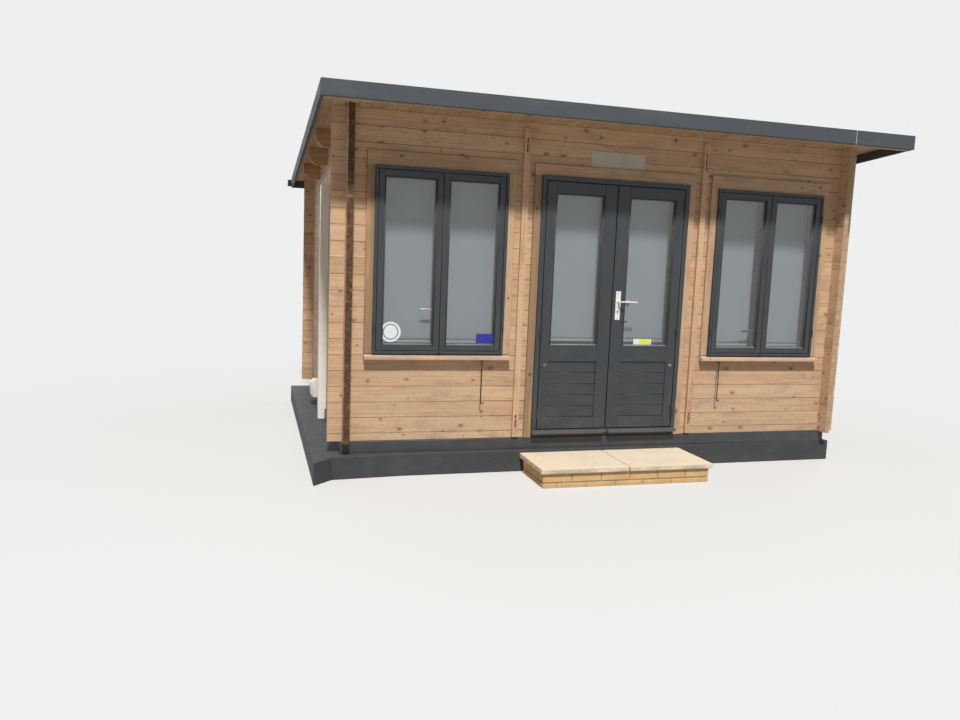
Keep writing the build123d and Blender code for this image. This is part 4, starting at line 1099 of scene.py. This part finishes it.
stack = newStack()
jamb = doorway["jamb"]
low, high = (left, doorwayLow.z), (far, top)
ringBoards(stack, low, high, jamb, doorwayLow.y, doorwayHigh.y, 0.0004, bottom=False)
low, high = (left + jamb, doorwayLow.z), (far - jamb, top - jamb)
stopFront = doorwayLow.y + doorway["stopFront"]
ringBoards(stack, low, high, doorway["stop"], stopFront, doorwayHigh.y, bottom=False)
finishBoards(stack, "doorFrame", "pod", "joinery", ["door_frame"], 0.0015, 2)
# painted shade: the strip of log under the door takes the dark joinery paint, standing in for the shadow under the
# sill's nose
stack = newStack()
addBoard(stack, (doorOpening[0], frontFace, wallBase), (doorOpening[1], innerFace, doorOpening[2]), "xz")
finishBoards(stack, "doorThresholdPaintedShade", "pod", "joinery", (), 0.001, 1)
# the sill's bar takes the lighter grey paint, a painted highlight
softCopy("door_sill", "doorSill", "pod", "sillBar", "xz", 0.0015)
print("doorway trimmed")

leaf = {
    "outerStile": 0.070, "innerStile": 0.100, "boards": 5, "bead": 0.010, "beadFront": 0.0105,
    "eyeHeight": 0.810, "eyeReach": 0.04,
}
for side, name in ((-1, "left"), (1, "right")):
    body = f"{name}_door"
    stack = newStack()
    fieldInner, fieldOuter = side * (leafLow.x + leaf["innerStile"]), side * (leafHigh.x - leaf["outerStile"])
    for first, last in (sorted((side * leafLow.x, fieldInner)), sorted((side * leafHigh.x, fieldOuter))):
        addBoard(stack, (first, leafLow.y, leafLow.z), (last, leafHigh.y, leafHigh.z), "zx")
    left, far = sorted((fieldInner, fieldOuter))
    for low, high in ((leafLow.z, panelLow.z), (panelHigh.z, paneLow.z), (paneHigh.z, leafHigh.z)):
        addBoard(stack, (left, leafLow.y + 0.0004, low), (far, leafHigh.y, high), "xz")
    finishBoards(
        stack, f"{name}DoorLeaf", body, "joinery", [f"{name}_door_leaf"], 0.002, 2, ends=True
    )

    stack = newStack()
    boardHigh = (panelHigh.z - panelLow.z) / leaf["boards"]
    for index in range(leaf["boards"]):
        low = panelLow.z + index * boardHigh
        addBoard(stack, (left, panelLow.y, low), (far, panelHigh.y, low + boardHigh), "xz")
    finishBoards(stack, f"{name}DoorPanel", body, "joinery", [f"{name}_door_panel"], 0.003, 2)

    stack = newStack()
    panes, spacers = bmesh.new(), bmesh.new()
    low, high = (left, paneLow.z), (far, paneHigh.z)
    glazeOpening(low, high, paneLow.y, panes, spacers)
    for beadFront, ledge in ((paneLow.y - leaf["beadFront"], 1), (paneHigh.y + glazing["beadGap"], 0)):
        ringBoards(stack, low, high, leaf["bead"], beadFront, beadFront + leaf["bead"], ledge=ledge)
    # the bottom ledges of the beads take the light grey paint: painted highlight, partly dust
    finishBoards(stack, f"{name}DoorBeads", body, ["joinery", "beadLedgeDustAndGlint"], (), 0.004, 3)
    placeObject(f"{name}DoorPanes", panes, body, "glass", [f"{name}_door_glass"])
    placeObject(f"{name}DoorSpacers", spacers, body, "spacer")
    hardware = softCopy(
        f"{name}_door_fittings", f"{name}DoorFittings", body, "blackMetal", "zx", 0.0,
        flat=0.1, smooth=True,
    )
    hardware.data.materials.append(finishes["eyeSteel"])
    for polygon in hardware.data.polygons:
        polygon.material_index = 1 if abs(polygon.center.z - leaf["eyeHeight"]) < leaf["eyeReach"] else 0
print("door leaves hung")

handle = {
    "screws": 0.0042, "screwInset": 0.012, "sunk": 0.001, "proud": 0.0008, "keyProud": 0.0012,
    "keyDrop": 0.075, "keyRadius": 0.0085, "keySlot": (0.004, 0.020), "armWidth": 0.017, "armDepth": 0.012,
    "neck": 0.016, "bend": 0.012, "taper": 0.06,
}
# how far along the collar, and how wide it is there; how far along the arm, and how thick
collar = ((0.0, 0.024), (0.004, 0.022), (0.006, handle["neck"]))
armShape = ((0.5, 1.0), (0.9, 1.02), (0.965, 0.9), (0.99, 0.62))
softCopy("handle_plates", "handlePlates", "right_door", "whiteMetal", "zx", 0.0012)
plateLow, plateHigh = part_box("handle_plates")
leverLow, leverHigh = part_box("door_lever")
plateX = (plateLow.x + plateHigh.x) / 2
leverZ = (leverLow.z + leverHigh.z) / 2
keyZ = leverZ - handle["keyDrop"]
slotHalf, slotDrop = handle["keySlot"]
mesh = bmesh.new()
for face, out in ((plateLow.y, -1), (plateHigh.y, 1)):
    under, over = face - out * handle["sunk"], face + out * handle["keyProud"]
    screwOver = face + out * handle["proud"]
    for height in (plateLow.z + handle["screwInset"], plateHigh.z - handle["screwInset"]):
        addRod(mesh, (plateX, under, height), (plateX, screwOver, height), handle["screws"], 16)
    addRod(mesh, (plateX, under, keyZ), (plateX, over, keyZ), handle["keyRadius"], 20)
    slotLow = (plateX - slotHalf, min(under, over), keyZ - slotDrop)
    addBlock(mesh, slotLow, (plateX + slotHalf, max(under, over), keyZ), 0.0005)
placeObject("handleKeyholes", mesh, "right_door", "boltSteel")

mesh = bmesh.new()
bend, neck = handle["bend"], handle["neck"]
for base, tip, out in ((plateLow.y, leverLow.y, -1), (plateHigh.y, leverHigh.y, 1)):
    axisY = tip - out * handle["armDepth"] / 2
    start = base + out * 0.0004
    stations = [((plateX, start + out * reach, leverZ), (0, out, 0), wide, wide) for reach, wide in collar]
    stations.append(((plateX, axisY - out * bend, leverZ), (0, out, 0), neck, neck))
    for part in (1, 2, 3):
        angle = part * math.pi / 8
        way = (math.sin(angle), out * math.cos(angle), 0)
        place = (plateX + bend * (1 - math.cos(angle)), axisY - out * bend * (1 - math.sin(angle)), leverZ)
        stations.append((place, way, neck, neck * (1 - part * handle["taper"])))
    stations.append(((plateX + bend, axisY, leverZ), (1, 0, 0), handle["armWidth"], handle["armDepth"]))
    for share, size in armShape:
        place = (plateX + bend + (leverHigh.x - plateX - bend) * share, axisY, leverZ)
        stations.append((place, (1, 0, 0), handle["armWidth"] * size, handle["armDepth"] * size))
    addLoft(mesh, stations)
smoothSlopes(mesh, 50)
placeObject("doorLever", mesh, "lever", "whiteMetal", ["door_lever"])
print("handle fitted")

bolts = {
    "middles": (-0.734, 0.734), "down": 0.103, "up": 0.135, "washer": 0.0115, "head": 0.0075, "shank": 0.004,
    "tip": 0.0032, "washerOut": 0.0022, "headOut": 0.0080, "tipOut": 0.0110, "intoWall": 0.01,
}
softCopy("storm_braces", "stormBraces", "pod", ["brace", "logEndsPale"], "zx", 0.002)
braceLow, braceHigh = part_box("storm_braces")
mesh = bmesh.new()
for x in bolts["middles"]:
    for z in (braceHigh.z - bolts["down"], braceLow.z + bolts["up"]):
        washerY, headY, tipY = (braceLow.y - bolts[key] for key in ("washerOut", "headOut", "tipOut"))
        addRod(mesh, (x, braceLow.y + 0.0005, z), (x, washerY, z), bolts["washer"], 24)
        addRod(mesh, (x, washerY, z), (x, headY, z), bolts["head"], 6)
        addRod(mesh, (x, headY, z), (x, tipY, z), bolts["shank"], 14, bolts["tip"])
        addRod(mesh, (x, frontFace + bolts["intoWall"], z), (x, braceLow.y, z), bolts["shank"], 12)
placeObject("braceBolts", mesh, "pod", "boltSteel")
print("braces bolted")

flooring = {"boardWidth": 0.12, "jointReach": 0.9}
softCopy("base_slab", "baseSlab", "pod", "slab", "xz", 0.006, 3)
softCopy("bearers", "podBearers", "pod", "bearer", "xz", 0.003)
floorLow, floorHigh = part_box("floor")
stack = newStack()
count = round((floorHigh.y - floorLow.y) / flooring["boardWidth"])
width = (floorHigh.y - floorLow.y) / count
for index in range(count):
    front = floorLow.y + index * width
    joint = dice.uniform(-flooring["jointReach"], flooring["jointReach"])
    for left, far in ((floorLow.x, joint), (joint, floorHigh.x)):
        addBoard(stack, (left, front, floorLow.z), (far, front + width, floorHigh.z), "xy")
finishBoards(stack, "floorBoards", "pod", "floor", ["floor"], 0.001, 1, ends=True, seams=True)
print("base and floor laid")

step = {
    "brick": 0.215, "deep": 0.1025, "joint": 0.010, "rake": 0.004, "courses": ((0.0, 0.032), (0.042, 0.105)),
    "backFace": -1.590, "leastBrick": 0.03, "stray": 0.001,
}
brickLow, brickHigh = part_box("step_brickwork")
rake, joint, backFace = step["rake"], step["joint"], step["backFace"]
mesh = bmesh.new()
addBlock(mesh, (brickLow.x + rake, brickLow.y + rake, 0), (brickHigh.x - rake, backFace, brickHigh.z))
placeObject("stepMortar", mesh, "pod", "mortar")
stack = newStack()
for course, (low, high) in enumerate(step["courses"]):
    edges = [(brickLow.x, brickLow.x + (step["brick"] if course else step["deep"]))]
    while edges[-1][1] + joint < brickHigh.x - step["leastBrick"]:
        left = edges[-1][1] + joint
        edges.append((left, min(left + step["brick"], brickHigh.x)))
    for left, far in edges:
        stray = dice.uniform(-step["stray"], step["stray"])
        addBoard(stack, (left, brickLow.y + stray, low), (far, brickLow.y + step["deep"], high), "xz")
    for left, far in ((brickLow.x, brickLow.x + step["deep"]), (brickHigh.x - step["deep"], brickHigh.x)):
        front = brickLow.y + step["deep"] + joint
        while front < backFace - step["leastBrick"]:
            addBoard(stack, (left, front, low), (far, min(front + step["brick"], backFace), high), "yz")
            front += step["brick"] + joint
finishBoards(stack, "stepBricks", "pod", "brick", ["step_brickwork"], 0.0035, 2, ends=True)
softCopy("step_paving", "stepPaving", "pod", "paving", "xy", 0.004, 3)
print("doorstep built")

softCopy("line_cover", "lineCover", "pod", "whiteCover", "zx", 0.002)
softCopy("isolator_box", "isolatorBox", "pod", "whitePlastic", "zx", 0.002)
softCopy("sign_plate", "signPlate", "pod", "signFace", "xz", 0.001)
for node, name, body in (
    ("frame_hinges", "frameHinges", "pod"),
    ("hook_eyes", "hookEyes", "pod"),
    ("left_cabin_hook", "leftCabinHook", "left_hook"),
    ("right_cabin_hook", "rightCabinHook", "right_hook"),
):
    finish = "blackMetal" if body == "pod" else "hookIron"
    softCopy(node, name, body, finish, "zx", 0.0, flat=0.1, smooth=True)

signScrews = {"inset": 0.012, "sunk": 0.001, "proud": 0.0015, "radius": 0.004}
signLow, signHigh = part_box("sign_plate")
z = (signLow.z + signHigh.z) / 2
mesh = bmesh.new()
for x in (signLow.x + signScrews["inset"], signHigh.x - signScrews["inset"]):
    front = signLow.y - signScrews["proud"]
    addRod(mesh, (x, signLow.y + signScrews["sunk"], z), (x, front, z), signScrews["radius"], 14)
placeObject("signScrews", mesh, "pod", "boltSteel")

hinges = {
    "fromEdge": 0.004, "fromEnd": 0.19, "out": 0.004, "half": 0.030, "radius": 0.0055,
    "cap": 0.034, "capTip": 0.002,
}
mesh = bmesh.new()
y = frameLow.y - hinges["out"]
for middle in windows["middles"]:
    for side in (-1, 1):
        x = middle + side * (half - windows["face"] / 2 + hinges["fromEdge"])
        for height in (frameLow.z + hinges["fromEnd"], frameHigh.z - hinges["fromEnd"]):
            top = height + hinges["half"]
            addRod(mesh, (x, y, height - hinges["half"]), (x, y, top), hinges["radius"], 14)
            addRod(mesh, (x, y, top), (x, y, height + hinges["cap"]), hinges["radius"], 14, hinges["capTip"])
placeObject("windowHinges", mesh, "pod", "blackMetal")

# where each window's handle stands, in x and z, and its sizes
sashHandles = {
    "places": ((-1.375, 1.208), (1.309, 1.087)), "rose": (0.012, 0.006, 0.030), "stem": 0.006, "stemOut": 0.030,
    "arm": (-0.105, 0.010), "armOut": (0.026, 0.036), "armHalf": 0.008,
}
mesh = bmesh.new()
back = sashHigh.y
wide, deep, tall = sashHandles["rose"]
for x, z in sashHandles["places"]:
    addBlock(mesh, (x - wide, back, z - tall), (x + wide, back + deep, z + tall), 0.002)
    addRod(mesh, (x, back + deep, z), (x, back + sashHandles["stemOut"], z), sashHandles["stem"], 14)
    rise = sashHandles["armHalf"]
    (near, far), (front, end) = sashHandles["arm"], sashHandles["armOut"]
    addBlock(mesh, (x + near, back + front, z - rise), (x + far, back + end, z + rise), 0.003)
# painted shade: the right window's handle takes the black metal, for the shade it stands in behind its glass; both
# handles are the same steel
for face in mesh.faces:
    face.material_index = 1 if face.calc_center_median().x > 0 else 0
placeObject("windowHandles", mesh, "pod", ["handleSteel", "blackMetal"])

# plain labels on the glass: place in x and z, then the radius or the half sizes
stickers = {
    "round": (-1.702, 1.047, 0.073), "ring": 0.78, "centre": 0.66,
    "blue": (-1.003, 1.006, 0.063, 0.035), "yellow": (0.281, 0.997, 0.077, 0.022), "patch": (0.35, 0.9, 0.85),
}
# how far the faces of the films on them stand off the glass
film = {"clear": 0.0001, "first": 0.0006, "second": 0.0009, "third": 0.0012}


def addDisc(mesh, glass, radius, outer, inner):
    x, z = stickers["round"][:2]
    return addRod(mesh, (x, glass - film[outer], z), (x, glass - film[inner], z), radius, 40)


def addPatch(mesh, glass, label, outer, inner, left=1.0, far=1.0, rise=1.0):
    x, z, wide, tall = stickers[label]
    low = (x - wide * left, glass - film[outer], z - tall * rise)
    addBlock(mesh, low, (x + wide * far, glass - film[inner], z + tall * rise))


radius = stickers["round"][2]
mesh = bmesh.new()
addDisc(mesh, sashGlass, radius, "first", "clear")
placeObject("roundSticker", mesh, "pod", "whiteLabel")
mesh = bmesh.new()
addDisc(mesh, sashGlass, radius * stickers["ring"], "second", "first")
middleDisc = addDisc(mesh, sashGlass, radius * stickers["centre"], "third", "second")
for face in {face for vert in middleDisc for face in vert.link_faces}:
    face.material_index = 1
placeObject("roundStickerMiddle", mesh, "pod", ["greyLabel", "whiteLabel"])

stops = {"half": 0.010, "out": 0.006, "low": 0.001, "high": 0.015}
mesh = bmesh.new()
for middle in windows["middles"]:
    start = (middle - stops["half"], frameLow.y - stops["out"], frameLow.z + stops["low"])
    addBlock(mesh, start, (middle + stops["half"], frameLow.y, frameLow.z + stops["high"]), 0.001)
placeObject("windowStops", mesh, "pod", "rubber")

for name, body, finish, patch in (
    ("blueSticker", "pod", "blueLabel", (sashGlass, "blue", "first", "clear")),
    ("whiteLabel", "right_door", "whiteLabel", (paneLow.y, "yellow", "first", "clear")),
    ("yellowPatch", "right_door", "yellowLabel", (paneLow.y, "yellow", "second", "first", *stickers["patch"])),
):
    mesh = bmesh.new()
    addPatch(mesh, *patch)
    placeObject(name, mesh, body, finish)

catch = {
    "low": (0.084, 1.144), "high": (0.110, 1.160), "deep": 0.004,
    "bar": (0.086, 0.132), "barZ": 1.152, "barOut": 0.008, "barRadius": 0.0045,
}
mesh = bmesh.new()
start = (catch["low"][0], leafLow.y - catch["deep"], catch["low"][1])
addBlock(mesh, start, (catch["high"][0], leafLow.y, catch["high"][1]), 0.001)
ends = [(x, leafLow.y - catch["barOut"], catch["barZ"]) for x in catch["bar"]]
addRod(mesh, *ends, catch["barRadius"], 12)
placeObject("doorCatch", mesh, "right_door", "blackMetal")
print("small fittings placed")

studio = {
    "floor": (0.735, 0.735, 0.73), "bounce": (0.38, 0.37, 0.36), "backdrop": (0.86, 0.865, 0.87),
    "sky": (0.97, 0.985, 1.0), "skyLight": 0.22, "clear": 2.8, "faded": 7.0, "lift": 0.35, "radius": 60,
}
# place, aim, size, watts, colour
lamps = {
    "keyLamp": ((-5.2, -20.8, 27.6), (0, -1.5, 1.2), 2.4, 12300, (1.0, 0.975, 0.93)),
    "sideLamp": ((10.0, 5.0, 5.0), (0, 0, 1.2), 6.0, 220, (0.95, 0.98, 1.0)),
    "backLamp": ((-3.5, 10.5, 5.5), (0, 0, 1.2), 7.0, 280, (0.97, 0.99, 1.0)),
}
mesh = bmesh.new()
bmesh.ops.create_circle(mesh, cap_ends=True, segments=96, radius=studio["radius"])
floorObject = newObject("studioFloor", mesh)
floorFinish, tree, shader = newMaterial("studioFloor", Roughness=0.9, Specular_IOR_Level=0.1)
# the floor fades into the backdrop away from the pod, and keeps its shadow
glow = addNode(tree, "ShaderNodeEmission", {"Color": studio["backdrop"], "Strength": 1.0})[0]
reach = vectorCalc(tree, "LENGTH", objectPlace(tree))["Value"]
fade = remap(tree, reach, studio["clear"], studio["faded"], studio["lift"], 1.0)
seen = seenPlainly(tree)
setShader(tree, shader, Base_Color=blend(tree, seen, studio["bounce"], studio["floor"]))
setSurface(tree, mixShaders(tree, times(tree, seen, fade), shader.outputs[0], glow))
floorObject.data.materials.append(floorFinish)

world = bpy.data.worlds.new("studio")
bpy.context.scene.world = world
world.use_nodes = True
tree = world.node_tree
tree.nodes.clear()
soft = addNode(tree, "ShaderNodeBackground", {"Color": studio["sky"], "Strength": studio["skyLight"]})[0]
pale = addNode(tree, "ShaderNodeBackground", {"Color": studio["backdrop"], "Strength": 1.0})[0]
addNode(tree, "ShaderNodeOutputWorld", {"Surface": mixShaders(tree, seenPlainly(tree), soft, pale)})

for name, (place, aim, size, watts, colour) in lamps.items():
    lampData = bpy.data.lights.new(name, "AREA")
    lampData.shape = "DISK"
    lampData.size = size
    lampData.energy = watts
    lampData.color = colour
    lamp = bpy.data.objects.new(name, lampData)
    way = Vector(aim) - Vector(place)
    lamp.matrix_world = Matrix.Translation(place) @ way.to_track_quat("-Z", "Y").to_matrix().to_4x4()
    bpy.context.scene.collection.objects.link(lamp)
bpy.context.scene.view_settings.view_transform = "Standard"
print("studio lit")
